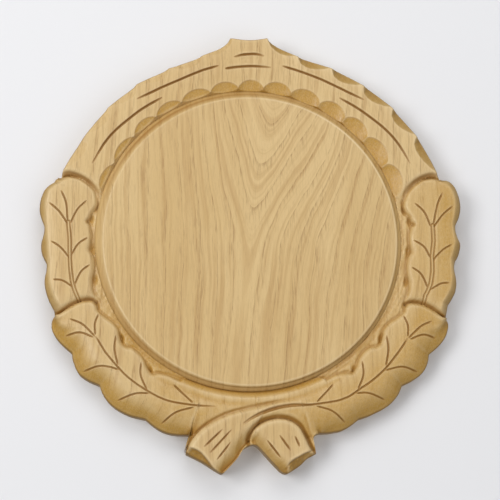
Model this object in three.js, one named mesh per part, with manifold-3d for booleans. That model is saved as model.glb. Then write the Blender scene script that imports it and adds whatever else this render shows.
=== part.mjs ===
// Carved oak wall plaque: a round raised disc inside a wreath of oak leaves,
// hung by a ring let into its back.
// Millimetres. It hangs upright: X to its right, Z up, the carved face towards -Y,
// the back on the plane Y = 0.
// The pieces are drawn lying on their back, x right, y up and z out of the back, and stood up at the end.

import * as THREE from 'three';
import { mergeVertices } from 'three/addons/utils/BufferGeometryUtils.js';
import Module from 'manifold-3d';

const wasm = await Module();
wasm.setup();

// Board and its working allowances
const boardThickness = 20;
const fitGap = 0.3;
const overrun = 4;
const carvingShift = 2.6;
const roundSteps = 90;
const drillSteps = 16;
const gougeSteps = 36;
const clearanceSteps = 14;
const clearanceRampSteps = 6;
const weldTolerance = 1e-4;
const leastSpacing = 0.03;

// Raised disc in the middle, turned separately and seated in a round recess
const discFaceRadius = 85;
const discBevelWidth = 2.4;
const discBevelDrop = 7;
const discSeatDepth = 3;
const discRadius = discFaceRadius + discBevelWidth;
const moatHeight = boardThickness - discBevelDrop;
const recessFloor = moatHeight - discSeatDepth;
const recessRadius = discRadius + fitGap;

// Band that the carving fills: from the moat's outer lip to the reach of the leaves
const moatLip = 0.4;
const groundRise = 2;
const groundSlopeWidth = 4;
const wreathReach = 122.7;
const bandInner = recessRadius + moatLip;
const bandWidth = wreathReach - bandInner;
const groundHeight = moatHeight + groundRise;
const groundRadius = bandInner + bandWidth / 2;

// Collar over the top: a flat band with gouged teeth outside, scallops inside and flutes along it
const collarRadius = 113.2;
const collarEndAngle = 83;
const crestRadius = 121;
const crestDip = 1.6;
const crestHalfAngle = 4.7;
const firstToothAngle = 14.2;
const toothPitch = 11.2;
const teethPerSide = 6;
const toothHollow = 0.2;
const hollowSteps = 4;
const collarInnerSteps = 24;
const toothCutDepth = 6;
const toothCutReach = 6;
const toothGougeRadius = 12.2;
const scallopPitch = 10.4;
const scallopsPerSide = 7;
const scallopReach = 5.6;
const scallopGougeRadius = 9;

// Leaves
const leafCrestHeight = 19.6;
const leafTipHeight = 16.5;
const leafOuterEdgeHeight = 11.5;
const leafInnerEdgeHeight = 16.4;
const leafTipGroove = 1.5;
const leafTipGrooveFloor = 13;

// Crossed stems at the bottom
const stemCrestHeight = 20;
const stemEdgeHeight = 11;
const stemGroove = 1.2;
const stemGrooveFloor = 13.5;

// Tool marks: vee cuts, as wide as this share of their depth on each side
const veeSlopeShare = 0.75;
const veinDepth = 1.3;
const midribDepth = 1.8;
const stemLineDepth = 1.4;
const fluteDepth = 1.4;

// Wood screws that hold the disc from behind
const discScrewCircle = 58;
const discScrewAngles = [45, 135, 225, 315];
const discScrewCover = 3.7;
const screwShankRadius = 1.75;
const screwHeadRadius = 3.5;
const screwHeadHeight = 2.2;
const screwPointLength = 4;
const screwHeadSink = 0.4;
const crossSlotWidth = 0.9;
const crossSlotDepth = 1.2;
const crossSlotLength = 3.6;

// Strap hanger with its ring, let into a pocket in the back
const hangerAxisHeight = 92;
const wireRadius = 1;
const strapThickness = 0.9;
const strapWidth = 9;
const strapTail = 25;
const ringWidth = 14;
const ringCornerRadius = 2;
const ringCornerSteps = 4;
const ringArchSteps = 16;
const wireSides = 10;
const barrelBore = wireRadius + fitGap;
const barrelRadius = barrelBore + strapThickness;
const hangerSink = 0.3;
const pocketDepth = 2 * barrelRadius + hangerSink;
const pocketHalfWidth = 10;
const pocketMargin = 2.5;
const pocketCornerSteps = 5;
const hangerScrewNear = 13;
const hangerScrewFar = 20.5;
const hangerScrewRadius = 1.4;
const hangerScrewHeadRadius = 2.7;
const hangerScrewHeadHeight = 1.5;
const hangerScrewCover = 0.6;
const headFlatShare = 0.7;
const headSlotShare = 0.45;

// Turns a closed three.js geometry into a solid that can be cut and joined
function solid(geometry) {
  const bare = geometry.index ? geometry.clone() : geometry;
  bare.deleteAttribute('normal');
  bare.deleteAttribute('uv');
  const welded = mergeVertices(bare, weldTolerance);
  const kept = [];
  const index = welded.index.array;
  for (let i = 0; i < index.length; i += 3) {
    const [a, b, c] = [index[i], index[i + 1], index[i + 2]];
    if (a !== b && b !== c && c !== a) kept.push(a, b, c);
  }
  const vertProperties = new Float32Array(welded.attributes.position.array);
  const closed = (triVerts) => new wasm.Manifold(new wasm.Mesh({ numProp: 3, vertProperties, triVerts }));
  const body = closed(new Uint32Array(kept));
  return body.volume() > 0 ? body : closed(new Uint32Array(kept.reverse()));
}

// Turns a solid back into a three.js geometry
function geometryOf(body) {
  const mesh = body.getMesh();
  const geometry = new THREE.BufferGeometry();
  geometry.setAttribute('position', new THREE.BufferAttribute(new Float32Array(mesh.vertProperties), 3));
  geometry.setIndex(new THREE.BufferAttribute(new Uint32Array(mesh.triVerts), 1));
  geometry.computeVertexNormals();
  return geometry;
}

// A turned body about the z axis, from a profile of [radius, height] pairs
// that starts and ends on the axis
function turned(profile, steps) {
  const points = profile.map(([radius, height]) => new THREE.Vector2(radius, height));
  return solid(new THREE.LatheGeometry(points, steps).rotateX(Math.PI / 2));
}

// A straight prism over an outline of Vector2 points, between two heights
function prism(outline, low, high) {
  const shape = new THREE.Shape(outline);
  const geometry = new THREE.ExtrudeGeometry(shape, { depth: high - low, bevelEnabled: false });
  return solid(geometry.translate(0, 0, low));
}

function drill(x, y, radius, low, high) {
  const geometry = new THREE.CylinderGeometry(radius, radius, high - low, drillSteps);
  return solid(geometry.rotateX(Math.PI / 2).translate(x, y, (low + high) / 2));
}

function unite(bodies) {
  return bodies.reduce((sum, body) => sum.add(body));
}

function cutAll(body, cutters) {
  return cutters.length ? body.subtract(unite(cutters)) : body;
}

const toRadians = (degrees) => degrees * Math.PI / 180;
const mix = (from, to, share) => from + (to - from) * share;

// A place on the plaque from its clock angle in degrees and its radius
function polar(angle, radius) {
  return new THREE.Vector2(radius * Math.sin(toRadians(angle)), radius * Math.cos(toRadians(angle)));
}

// A place in the carved band: share 0 is the moat's lip, share 1 the reach of the leaves
function bandPoint(angle, share, side = 1) {
  const point = polar(angle, bandInner + share * bandWidth);
  return new THREE.Vector2(point.x * side, point.y);
}

// Edges and midribs of the carved forms are rows of
// [clock angle, share of the band, how the line arrives].
// 'lobe' leaves a sharp notch and rounds over a lobe, 'notch' comes back down to the next one,
// 'turn' is a quarter round from running along the wreath to running across it, and 'run' is straight.
const stepShares = {
  run: (u) => [u, u],
  lobe: (u) => [u, Math.sin(u * Math.PI / 2)],
  notch: (u) => [u, 1 - Math.cos(u * Math.PI / 2)],
  turn: (u) => [Math.sin(u * Math.PI / 2), 1 - Math.cos(u * Math.PI / 2)],
};

function edgeAt(rows, t) {
  const last = rows.length - 1;
  const i = Math.min(Math.floor(t * last), last - 1);
  const [alongShare, acrossShare] = stepShares[rows[i + 1][2]](t * last - i);
  return [mix(rows[i][0], rows[i + 1][0], alongShare), mix(rows[i][1], rows[i + 1][1], acrossShare)];
}

function smoothAt(rows, t) {
  const stops = rows.map(([angle, share]) => new THREE.Vector3(angle, share, 0));
  const curve = new THREE.CatmullRomCurve3(stops);
  const place = curve.getPoint(t);
  return [place.x, place.y];
}

const upperLeafForm = {
  midribShares: [
    [113.5, 0.47], [109, 0.47], [105, 0.49], [100.5, 0.49], [95.8, 0.48],
    [90.6, 0.47], [85.6, 0.48], [80.8, 0.52], [76, 0.59], [71.4, 0.67],
  ],
  outerShares: [
    [110.8, 0.9, 'run'], [106, 0.96, 'lobe'], [101.7, 0.97, 'lobe'], [96.8, 0.88, 'notch'],
    [91.2, 0.98, 'lobe'], [86, 0.91, 'notch'], [82.6, 1.01, 'lobe'], [79, 1.05, 'run'],
    [74.6, 0.98, 'notch'], [71.4, 0.67, 'turn'],
  ],
  innerShares: [
    [114.3, 0.2, 'run'], [109, 0.16, 'run'], [104.6, 0.14, 'notch'], [99, 0.04, 'lobe'],
    [94, 0.12, 'notch'], [89, 0.06, 'lobe'], [84.2, 0.15, 'notch'], [78.5, 0.12, 'lobe'],
    [73.6, 0.27, 'notch'], [71.4, 0.67, 'turn'],
  ],
  veinShares: [
    [0.62, 0.96, 0.35], [0.58, 0.84, 0.7], [0.58, 0.82, -0.62],
    [0.42, 0.6, 0.6], [0.43, 0.6, -0.72], [0.24, 0.36, 0.7], [0.26, 0.46, -0.72],
  ],
  midribReachShares: [0.05, 0.66],
};

const lowerLeafForm = {
  midribShares: [
    [182, 0.36], [168.3, 0.3], [160, 0.38], [154.8, 0.45], [149.1, 0.5], [143.5, 0.52],
    [136.4, 0.53], [129.8, 0.51], [122.6, 0.5], [116.1, 0.5], [110.8, 0.52],
  ],
  outerShares: [
    [182, 0.74, 'run'], [164, 0.86, 'run'],
    [155.5, 0.96, 'lobe'], [148.8, 0.91, 'notch'], [140.7, 1.03, 'lobe'], [133.5, 0.93, 'notch'],
    [128, 1.04, 'lobe'], [122.8, 0.96, 'notch'], [115.8, 1.06, 'lobe'], [111.9, 0.92, 'notch'],
    [110.8, 0.52, 'turn'],
  ],
  innerShares: [
    [182, 0.06, 'run'], [166, 0.07, 'run'], [156, 0.09, 'run'], [149, 0.1, 'lobe'],
    [143.3, 0.22, 'notch'], [137.6, 0.09, 'lobe'], [130.6, 0.18, 'notch'], [123.6, 0.07, 'lobe'],
    [115.6, 0.18, 'run'], [112.2, 0.3, 'notch'], [110.8, 0.52, 'turn'],
  ],
  veinShares: [
    [0.802, 0.937, 0.52], [0.784, 0.838, 0.7], [0.802, 0.928, -0.66],
    [0.604, 0.649, 0.72], [0.613, 0.784, -0.74], [0.442, 0.442, 0.72], [0.451, 0.577, -0.72],
    [0.217, 0.253, 0.74], [0.226, 0.352, -0.66],
  ],
  midribReachShares: [0.12, 0.8],
};

const frontStemForm = {
  midribShares: [
    [158, 0.38], [165, 0.33], [172, 0.32], [178.5, 0.38],
    [184, 0.55], [188.8, 0.8], [191.8, 1.03], [194, 1.28],
  ],
  outerShares: [
    [158, 0.4, 'run'], [165.4, 0.42, 'run'], [172.6, 0.49, 'run'], [178.6, 0.61, 'run'],
    [182.2, 0.82, 'run'], [185.2, 0.98, 'run'], [187.4, 1.2, 'run'], [189.4, 1.37, 'run'],
  ],
  innerShares: [
    [158, 0.36, 'run'], [165, 0.25, 'run'], [172, 0.19, 'run'], [179, 0.23, 'run'],
    [186.5, 0.34, 'run'], [193.2, 0.57, 'run'], [197, 0.86, 'run'], [198.8, 1.16, 'run'],
  ],
};

const backStemForm = {
  midribShares: [[173.8, 0.45], [173.4, 0.6], [172.9, 0.86], [171.6, 1.05], [170.3, 1.25]],
  outerShares: [
    [169.4, 0.5, 'run'], [166.9, 0.66, 'run'], [165.8, 0.84, 'run'], [166.2, 1, 'run'],
    [166.2, 1.15, 'run'],
  ],
  innerShares: [
    [178, 0.5, 'run'], [180, 0.64, 'run'], [180.2, 0.88, 'run'], [177.4, 1.09, 'run'],
    [174.4, 1.35, 'run'],
  ],
};

// Where along each form the groove that sets it off from what lies below it begins
const upperTipFromShare = 0.5;
const lowerTipFromShare = 0.82;
const frontStemFromShare = 0.06;
const backStemFromShare = 0.1;

// How the surface of a carved form falls from its crest to each edge, in shares of the half width
const crownShares = [-1, -0.75, -0.4, 0, 0.4, 0.75, 1];
const crownPower = 2.2;
const tipDomeShare = 0.8;
const stationsPerRow = 3;

// A point on the crowned surface: t runs from the base to the tip, across from -1 inside to 1 outside
function surfacePoint(form, t, across, side) {
  const rib = smoothAt(form.midribShares, t);
  const edge = edgeAt(across < 0 ? form.innerShares : form.outerShares, t);
  const reach = Math.abs(across);
  const flat = bandPoint(mix(rib[0], edge[0], reach), mix(rib[1], edge[1], reach), side);
  const height = form.heightAt(t, across);
  return new THREE.Vector3(flat.x, flat.y, height);
}

function leafHeight(t, across) {
  const dome = Math.max(0, (t - tipDomeShare) / (1 - tipDomeShare)) ** 2;
  const edge = mix(across < 0 ? leafInnerEdgeHeight : leafOuterEdgeHeight, leafTipHeight, dome);
  const crest = mix(leafCrestHeight, leafTipHeight, dome);
  return mix(crest, edge, Math.abs(across) ** crownPower);
}

function stemHeight(t, across) {
  return mix(stemCrestHeight, stemEdgeHeight, Math.abs(across) ** (crownPower + 1));
}

// Lofts a carved form through its stations: a crowned top, upright sides and a flat back
function loft(form, side) {
  const rows = (form.midribShares.length - 1) * stationsPerRow;
  const positions = [];
  const indices = [];
  const ringLength = crownShares.length + 3;
  for (let i = 0; i <= rows; i += 1) {
    const t = i / rows;
    const top = crownShares.map((across) => surfacePoint(form, t, across, side));
    const middle = top[(top.length - 1) / 2];
    const ends = [top[top.length - 1], middle, top[0]].map((p) => new THREE.Vector3(p.x, p.y, 0));
    [...top, ...ends].forEach((p) => positions.push(p.x, p.y, p.z));
  }
  const face = (a, b, c) => indices.push(a, b, c);
  for (let i = 0; i < rows; i += 1) {
    for (let k = 0; k < ringLength; k += 1) {
      const next = (k + 1) % ringLength;
      const [a, b] = [i * ringLength + k, i * ringLength + next];
      face(a, b, b + ringLength);
      face(a, b + ringLength, a + ringLength);
    }
  }
  const hub = ringLength - 2;
  for (let k = 0; k < ringLength; k += 1) {
    const next = (k + 1) % ringLength;
    const start = rows * ringLength;
    if (k !== hub && next !== hub) face(hub, next, k);
    if (k !== hub && next !== hub) face(start + hub, start + k, start + next);
  }
  const geometry = new THREE.BufferGeometry();
  geometry.setAttribute('position', new THREE.BufferAttribute(new Float32Array(positions), 3));
  geometry.setIndex(indices);
  return solid(geometry);
}

// The outline of a form from one station to its tip, grown by a groove's width,
// as a cutter above the groove's floor
function clearance(form, side, fromShare, grow, floor) {
  const stations = Array.from({ length: clearanceSteps + 1 }, (_, i) => {
    return mix(fromShare, 1, i / clearanceSteps);
  });
  const line = (across) => stations.map((t, i) => {
    const place = surfacePoint(form, t, across, side);
    return { flat: new THREE.Vector2(place.x, place.y), grow: grow * Math.min(1, i / clearanceRampSteps) };
  });
  const outline = [...line(1), ...line(-1).reverse()];
  const unique = outline.filter((p, i) => {
    return i === 0 || p.flat.distanceTo(outline[i - 1].flat) > leastSpacing;
  });
  const centre = new THREE.Vector2();
  unique.forEach((p) => centre.add(p.flat));
  centre.divideScalar(unique.length);
  const grown = unique.map((p, i) => {
    const before = unique[(i + unique.length - 1) % unique.length].flat;
    const after = unique[(i + 1) % unique.length].flat;
    const along = after.clone().sub(before).normalize();
    const away = new THREE.Vector2(along.y, -along.x);
    if (away.dot(p.flat.clone().sub(centre)) < 0) away.negate();
    return p.flat.clone().addScaledVector(away, p.grow);
  });
  return prism(grown, floor, boardThickness + overrun);
}

// A tapering vee cut along points on the surface, deepest where the depth shares say
function veeCut(points, depth, depthShares) {
  const positions = [];
  const indices = [];
  points.forEach((p, i) => {
    const before = points[Math.max(i - 1, 0)];
    const after = points[Math.min(i + 1, points.length - 1)];
    const along = new THREE.Vector2(after.x - before.x, after.y - before.y).normalize();
    const away = new THREE.Vector2(-along.y, along.x);
    const cut = depth * depthShares[i];
    const half = (cut + depth) * veeSlopeShare;
    positions.push(p.x + away.x * half, p.y + away.y * half, p.z + depth);
    positions.push(p.x, p.y, p.z - cut);
    positions.push(p.x - away.x * half, p.y - away.y * half, p.z + depth);
  });
  for (let i = 0; i < points.length - 1; i += 1) {
    for (let k = 0; k < 3; k += 1) {
      const [a, b] = [i * 3 + k, i * 3 + (k + 1) % 3];
      indices.push(a, b, b + 3, a, b + 3, a + 3);
    }
  }
  const end = (points.length - 1) * 3;
  indices.push(0, 2, 1, end, end + 1, end + 2);
  const geometry = new THREE.BufferGeometry();
  geometry.setAttribute('position', new THREE.BufferAttribute(new Float32Array(positions), 3));
  geometry.setIndex(indices);
  return solid(geometry);
}

const veinBend = 1.4;
const veinDepthShares = [0.9, 1, 0.9, 0.7, 0.35];
const midribDepthShares = [0.35, 0.8, 1, 1, 1, 1, 1, 0.9, 0.75];
const fluteDepthShares = [0.12, 0.6, 0.9, 1, 0.9, 0.6, 0.12];

function veins(form, side) {
  const cuts = form.veinShares.map(([rootShare, endShare, acrossShare]) => {
    const points = veinDepthShares.map((_, i) => {
      const u = i / (veinDepthShares.length - 1);
      return surfacePoint(form, mix(rootShare, endShare, u ** veinBend), acrossShare * u, side);
    });
    return veeCut(points, veinDepth, veinDepthShares);
  });
  const [from, to] = form.midribReachShares;
  const rib = midribDepthShares.map((_, i) => {
    return surfacePoint(form, mix(from, to, i / (midribDepthShares.length - 1)), 0, side);
  });
  cuts.push(veeCut(rib, midribDepth, midribDepthShares));
  return cuts;
}

const gougeLengthShare = 3;

// A gouge pushed through the top face: it starts at one radius and runs downhill along a clock angle
function gougeCut(angle, startRadius, run, drop, gougeRadius) {
  const length = Math.hypot(run, drop) * gougeLengthShare;
  const slope = Math.atan2(drop, Math.abs(run));
  const geometry = new THREE.CylinderGeometry(gougeRadius, gougeRadius, length, gougeSteps);
  geometry.rotateZ(Math.PI / 2 - slope * Math.sign(run));
  geometry.rotateX(Math.PI / 2);
  const start = new THREE.Vector3(startRadius, 0, boardThickness);
  const lift = new THREE.Vector3(Math.sin(slope) * Math.sign(run), 0, Math.cos(slope));
  lift.multiplyScalar(gougeRadius);
  const place = start.add(lift);
  geometry.translate(place.x, place.y, place.z);
  geometry.rotateZ(Math.PI / 2 - toRadians(angle));
  return solid(geometry);
}

function onBothSides(count, place) {
  return Array.from({ length: count }, (_, i) => [place(i), -place(i)]).flat();
}

function collarTips() {
  const right = [[crestHalfAngle, crestRadius]];
  for (let i = 0; i < teethPerSide; i += 1) right.push([firstToothAngle + i * toothPitch, collarRadius]);
  const left = right.map(([angle, radius]) => [-angle, radius]).reverse();
  return [...left, ...right];
}

// The collar's outer line: tooth tips joined by shallow hollows
function collarOutline() {
  const tips = collarTips();
  const line = [];
  tips.slice(1).forEach(([angle, radius], i) => {
    const [fromAngle, fromRadius] = tips[i];
    const hollow = fromAngle < 0 && angle > 0 ? crestDip : toothHollow;
    for (let k = 0; k < hollowSteps; k += 1) {
      const u = k / hollowSteps;
      const dip = hollow * Math.sin(Math.PI * u);
      line.push(polar(mix(fromAngle, angle, u), mix(fromRadius, radius, u) - dip));
    }
  });
  const lastTip = tips[tips.length - 1];
  line.push(polar(lastTip[0], lastTip[1]), polar(collarEndAngle, collarRadius));
  for (let k = 0; k <= collarInnerSteps; k += 1) {
    line.push(polar(mix(collarEndAngle, -collarEndAngle, k / collarInnerSteps), recessRadius));
  }
  line.push(polar(-collarEndAngle, collarRadius));
  return line;
}

// Flutes on the collar: rows of clock angle and share of the collar's width, one row per end and middle
const fluteShares = [
  [[-4.8, 0.86], [0, 0.9], [4.2, 0.86]],
  [[-8, 0.56], [0, 0.58], [7.8, 0.56]],
  [[10.1, 0.66], [24.5, 0.65], [38.8, 0.69]],
  [[31.8, 0.4], [48, 0.47], [65.5, 0.54]],
];

function flute(rows, side) {
  const points = fluteDepthShares.map((_, i) => {
    const [angle, share] = smoothAt(rows, i / (fluteDepthShares.length - 1));
    const flat = polar(angle * side, mix(bandInner, collarRadius, share));
    return new THREE.Vector3(flat.x, flat.y, boardThickness);
  });
  return veeCut(points, fluteDepth, fluteDepthShares);
}

function makeCollar() {
  const blank = prism(collarOutline(), 0, boardThickness);
  const toothCuts = onBothSides(teethPerSide - 1, (i) => firstToothAngle + (i + 0.5) * toothPitch);
  const crestCut = (crestHalfAngle + firstToothAngle) / 2;
  const cutters = [...toothCuts, crestCut, -crestCut].map((angle) => {
    return gougeCut(angle, collarRadius - toothCutReach, toothCutReach, toothCutDepth, toothGougeRadius);
  });
  const scallops = [0, ...onBothSides(scallopsPerSide, (i) => (i + 1) * scallopPitch)];
  scallops.forEach((angle) => {
    const start = bandInner + scallopReach;
    cutters.push(gougeCut(angle, start, -scallopReach, discBevelDrop, scallopGougeRadius));
  });
  fluteShares.forEach((rows, i) => {
    cutters.push(flute(rows, 1));
    if (i > 1) cutters.push(flute(rows, -1));
  });
  return cutAll(blank, cutters);
}

// Short lines on each stem's crest: [start along, start across, end along, end across]
const frontStemLineShares = [
  [0.66, -0.42, 0.86, -0.5], [0.7, -0.08, 0.93, -0.04], [0.78, 0.34, 0.94, 0.44],
];
const backStemLineShares = [
  [0.42, -0.5, 0.86, -0.42], [0.36, -0.02, 0.72, 0.02], [0.4, 0.5, 0.74, 0.5],
];
const stemLineDepthShares = [0.15, 0.8, 1, 1, 0.9];

function stemLines(form, lineShares) {
  return lineShares.map(([t0, a0, t1, a1]) => {
    const points = stemLineDepthShares.map((_, i) => {
      const u = i / (stemLineDepthShares.length - 1);
      return surfacePoint(form, mix(t0, t1, u), mix(a0, a1, u), 1);
    });
    return veeCut(points, stemLineDepth, stemLineDepthShares);
  });
}

function makeCarving() {
  const upper = { ...upperLeafForm, heightAt: leafHeight };
  const lower = { ...lowerLeafForm, heightAt: leafHeight };
  const front = { ...frontStemForm, heightAt: stemHeight };
  const back = { ...backStemForm, heightAt: stemHeight };
  const sides = [1, -1];
  const overCollar = sides.map((side) => {
    return clearance(upper, side, upperTipFromShare, leafTipGroove, leafTipGrooveFloor);
  });
  const overUpper = sides.map((side) => {
    return clearance(lower, side, lowerTipFromShare, leafTipGroove, leafTipGrooveFloor);
  });
  const aroundFront = clearance(front, 1, frontStemFromShare, stemGroove, stemGrooveFloor);
  const aroundBack = clearance(back, 1, backStemFromShare, stemGroove, stemGrooveFloor);

  const collar = cutAll(makeCollar(), overCollar);
  const uppers = sides.map((side) => cutAll(loft(upper, side), [...veins(upper, side), ...overUpper]));
  const lowers = sides.map((side) => {
    return cutAll(loft(lower, side), [...veins(lower, side), aroundFront, aroundBack]);
  });
  const backStem = cutAll(loft(back, 1), [aroundFront, ...stemLines(back, backStemLineShares)]);
  const frontStem = cutAll(loft(front, 1), stemLines(front, frontStemLineShares));
  return unite([collar, ...uppers, ...lowers, backStem, frontStem]);
}

// A flat round blank under the carving, with the ground that shows between the leaves and the moat
function makeGround() {
  return turned([
    [0, 0], [groundRadius, 0], [groundRadius, groundHeight], [bandInner + groundSlopeWidth, groundHeight],
    [recessRadius, moatHeight], [recessRadius, recessFloor], [0, recessFloor],
  ], roundSteps);
}

function screwPlaces() {
  return discScrewAngles.map((angle) => polar(angle, discScrewCircle));
}

const discScrewTop = boardThickness - discScrewCover;

function screwHole(x, y, grow) {
  const countersink = turned([
    [0, -overrun], [screwHeadRadius + grow, -overrun], [screwHeadRadius + grow, screwHeadSink],
    [screwShankRadius + grow, screwHeadSink + screwHeadHeight],
    [screwShankRadius + grow, discScrewTop + grow], [0, discScrewTop + grow],
  ], drillSteps);
  return countersink.translate([x, y, 0]);
}

const ringReach = ringCornerRadius + ringWidth / 2;
const hangerScrewHeights = [hangerScrewNear, hangerScrewFar].map((drop) => hangerAxisHeight - drop);

function makePocket() {
  const low = hangerAxisHeight - strapTail - pocketMargin / 2;
  const high = hangerAxisHeight + ringReach + wireRadius + pocketMargin;
  const corner = pocketHalfWidth / 2;
  const outline = new THREE.Shape();
  outline.absarc(pocketHalfWidth - corner, high - corner, corner, 0, Math.PI / 2);
  outline.absarc(corner - pocketHalfWidth, high - corner, corner, Math.PI / 2, Math.PI);
  outline.absarc(corner - pocketHalfWidth, low + corner, corner, Math.PI, Math.PI * 1.5);
  outline.absarc(pocketHalfWidth - corner, low + corner, corner, Math.PI * 1.5, Math.PI * 2);
  const points = outline.getPoints(pocketCornerSteps).slice(0, -1);
  const unique = points.filter((p, i) => i === 0 || p.distanceTo(points[i - 1]) > leastSpacing);
  return prism(unique, -overrun, pocketDepth);
}

function makeWreath() {
  const carving = makeCarving().translate([carvingShift, 0, 0]);
  const moat = turned([
    [0, recessFloor], [recessRadius, recessFloor], [recessRadius, moatHeight],
    [bandInner, moatHeight + moatLip], [bandInner, boardThickness + overrun],
    [0, boardThickness + overrun],
  ], roundSteps);
  const holes = screwPlaces().map((p) => screwHole(p.x, p.y, fitGap));
  const pilots = hangerScrewHeights.map((y) => {
    return drill(0, y, hangerScrewRadius + fitGap, -overrun, recessFloor - hangerScrewCover + fitGap);
  });
  return cutAll(makeGround().add(carving), [moat, makePocket(), ...holes, ...pilots]);
}

function makeDisc() {
  const edge = fitGap * 2;
  const blank = turned([
    [0, recessFloor + fitGap], [discRadius, recessFloor + fitGap], [discRadius, moatHeight],
    [discFaceRadius, boardThickness - edge], [discFaceRadius - edge, boardThickness], [0, boardThickness],
  ], roundSteps);
  return cutAll(blank, screwPlaces().map((p) => screwHole(p.x, p.y, fitGap)));
}

function crossSlot(depth) {
  const bar = () => new THREE.BoxGeometry(crossSlotLength, crossSlotWidth, depth * 2);
  return solid(bar()).add(solid(bar().rotateZ(Math.PI / 2)));
}

// A countersunk screw, its head just under the back and its point towards the disc's face
function makeDiscScrew(place) {
  const body = turned([
    [0, screwHeadSink], [screwHeadRadius, screwHeadSink],
    [screwShankRadius, screwHeadSink + screwHeadHeight],
    [screwShankRadius, discScrewTop - screwPointLength], [0, discScrewTop],
  ], drillSteps);
  const slot = crossSlot(crossSlotDepth).translate([0, 0, screwHeadSink]);
  return body.subtract(slot).translate([place.x, place.y, 0]);
}

// A small round head screw that holds the strap on the pocket's floor
function makeHangerScrew(height) {
  const seat = pocketDepth - strapThickness;
  const top = seat - hangerScrewHeadHeight;
  const point = recessFloor - hangerScrewCover;
  const shoulder = top + hangerScrewHeadHeight / 2;
  const body = turned([
    [0, top], [hangerScrewHeadRadius * headFlatShare, top], [hangerScrewHeadRadius, shoulder],
    [hangerScrewHeadRadius, seat - fitGap], [hangerScrewRadius, seat - fitGap],
    [hangerScrewRadius, point - hangerScrewRadius], [0, point],
  ], drillSteps);
  const slot = crossSlot(hangerScrewHeadHeight * headSlotShare).translate([0, 0, top]);
  return body.subtract(slot).translate([0, height, 0]);
}

// The strap: a plate on the pocket's floor, rolled round the ring's straight side
function makeStrap() {
  const plate = new THREE.BoxGeometry(strapWidth, strapTail, strapThickness);
  plate.translate(0, hangerAxisHeight - strapTail / 2, pocketDepth - strapThickness / 2);
  const lying = solid(plate);
  const barrelAt = (radius, width) => {
    const tube = new THREE.CylinderGeometry(radius, radius, width, drillSteps).rotateZ(Math.PI / 2);
    return solid(tube.translate(0, hangerAxisHeight, pocketDepth - barrelRadius));
  };
  const floorGap = fitGap / 2;
  const holes = hangerScrewHeights.map((y) => drill(0, y, hangerScrewRadius + fitGap, 0, boardThickness));
  const rolled = lying.add(barrelAt(barrelRadius, strapWidth));
  const bore = barrelAt(barrelBore, strapWidth + overrun);
  return cutAll(rolled, [bore, ...holes]).translate([0, 0, -floorGap]);
}

// The ring: a D of round wire, its straight side in the barrel, swung up as it hangs on its nail
function makeRing() {
  const half = ringWidth / 2;
  const corner = ringCornerRadius;
  const at = (x, y) => new THREE.Vector3(x, y, 0);
  const points = [];
  for (let i = 0; i <= ringCornerSteps; i += 1) {
    const a = mix(-Math.PI / 2, 0, i / ringCornerSteps);
    points.push(at(half - corner + corner * Math.cos(a), corner + corner * Math.sin(a)));
  }
  for (let i = 1; i < ringArchSteps; i += 1) {
    const a = Math.PI * i / ringArchSteps;
    points.push(at(half * Math.cos(a), corner + half * Math.sin(a)));
  }
  for (let i = 0; i <= ringCornerSteps; i += 1) {
    const a = mix(Math.PI, Math.PI * 1.5, i / ringCornerSteps);
    points.push(at(corner - half + corner * Math.cos(a), corner + corner * Math.sin(a)));
  }
  const positions = [];
  const indices = [];
  points.forEach((p, i) => {
    const before = points[(i + points.length - 1) % points.length];
    const after = points[(i + 1) % points.length];
    const along = after.clone().sub(before).normalize();
    const outward = new THREE.Vector3(along.y, -along.x, 0);
    for (let k = 0; k < wireSides; k += 1) {
      const a = 2 * Math.PI * k / wireSides;
      positions.push(
        p.x + outward.x * wireRadius * Math.cos(a),
        p.y + outward.y * wireRadius * Math.cos(a),
        wireRadius * Math.sin(a),
      );
      const next = (k + 1) % wireSides;
      const j = (i + 1) % points.length;
      const [a0, a1] = [i * wireSides + k, i * wireSides + next];
      const [b0, b1] = [j * wireSides + k, j * wireSides + next];
      indices.push(a0, b1, a1, a0, b0, b1);
    }
  });
  const geometry = new THREE.BufferGeometry();
  geometry.setAttribute('position', new THREE.BufferAttribute(new Float32Array(positions), 3));
  geometry.setIndex(indices);
  const floorGap = fitGap / 2;
  return solid(geometry).translate([0, hangerAxisHeight, pocketDepth - barrelRadius - floorGap]);
}

const oak = { color: 0xd0ad78, roughness: 0.42, metalness: 0 };
const zincPlate = { color: 0xb9bcc0, roughness: 0.35, metalness: 0.9 };
const brassPlate = { color: 0xc9a960, roughness: 0.35, metalness: 0.9 };

const plaque = new THREE.Group();

function addPiece(name, body, look) {
  const piece = new THREE.Mesh(geometryOf(body), new THREE.MeshStandardMaterial(look));
  piece.name = name;
  plaque.add(piece);
}

addPiece('carved_wreath', makeWreath(), oak);
addPiece('centre_disc', makeDisc(), oak);
screwPlaces().forEach((place, i) => addPiece(`disc_screw_${i + 1}`, makeDiscScrew(place), zincPlate));
addPiece('hanger_strap', makeStrap(), brassPlate);
addPiece('hanger_ring', makeRing(), brassPlate);
addPiece('hanger_screw_upper', makeHangerScrew(hangerScrewHeights[0]), brassPlate);
addPiece('hanger_screw_lower', makeHangerScrew(hangerScrewHeights[1]), brassPlate);

plaque.rotation.x = Math.PI / 2;

export default plaque;
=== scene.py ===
import math
import bpy
import numpy as np
from mathutils import Matrix, Vector
from mathutils.geometry import delaunay_2d_cdt


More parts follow.
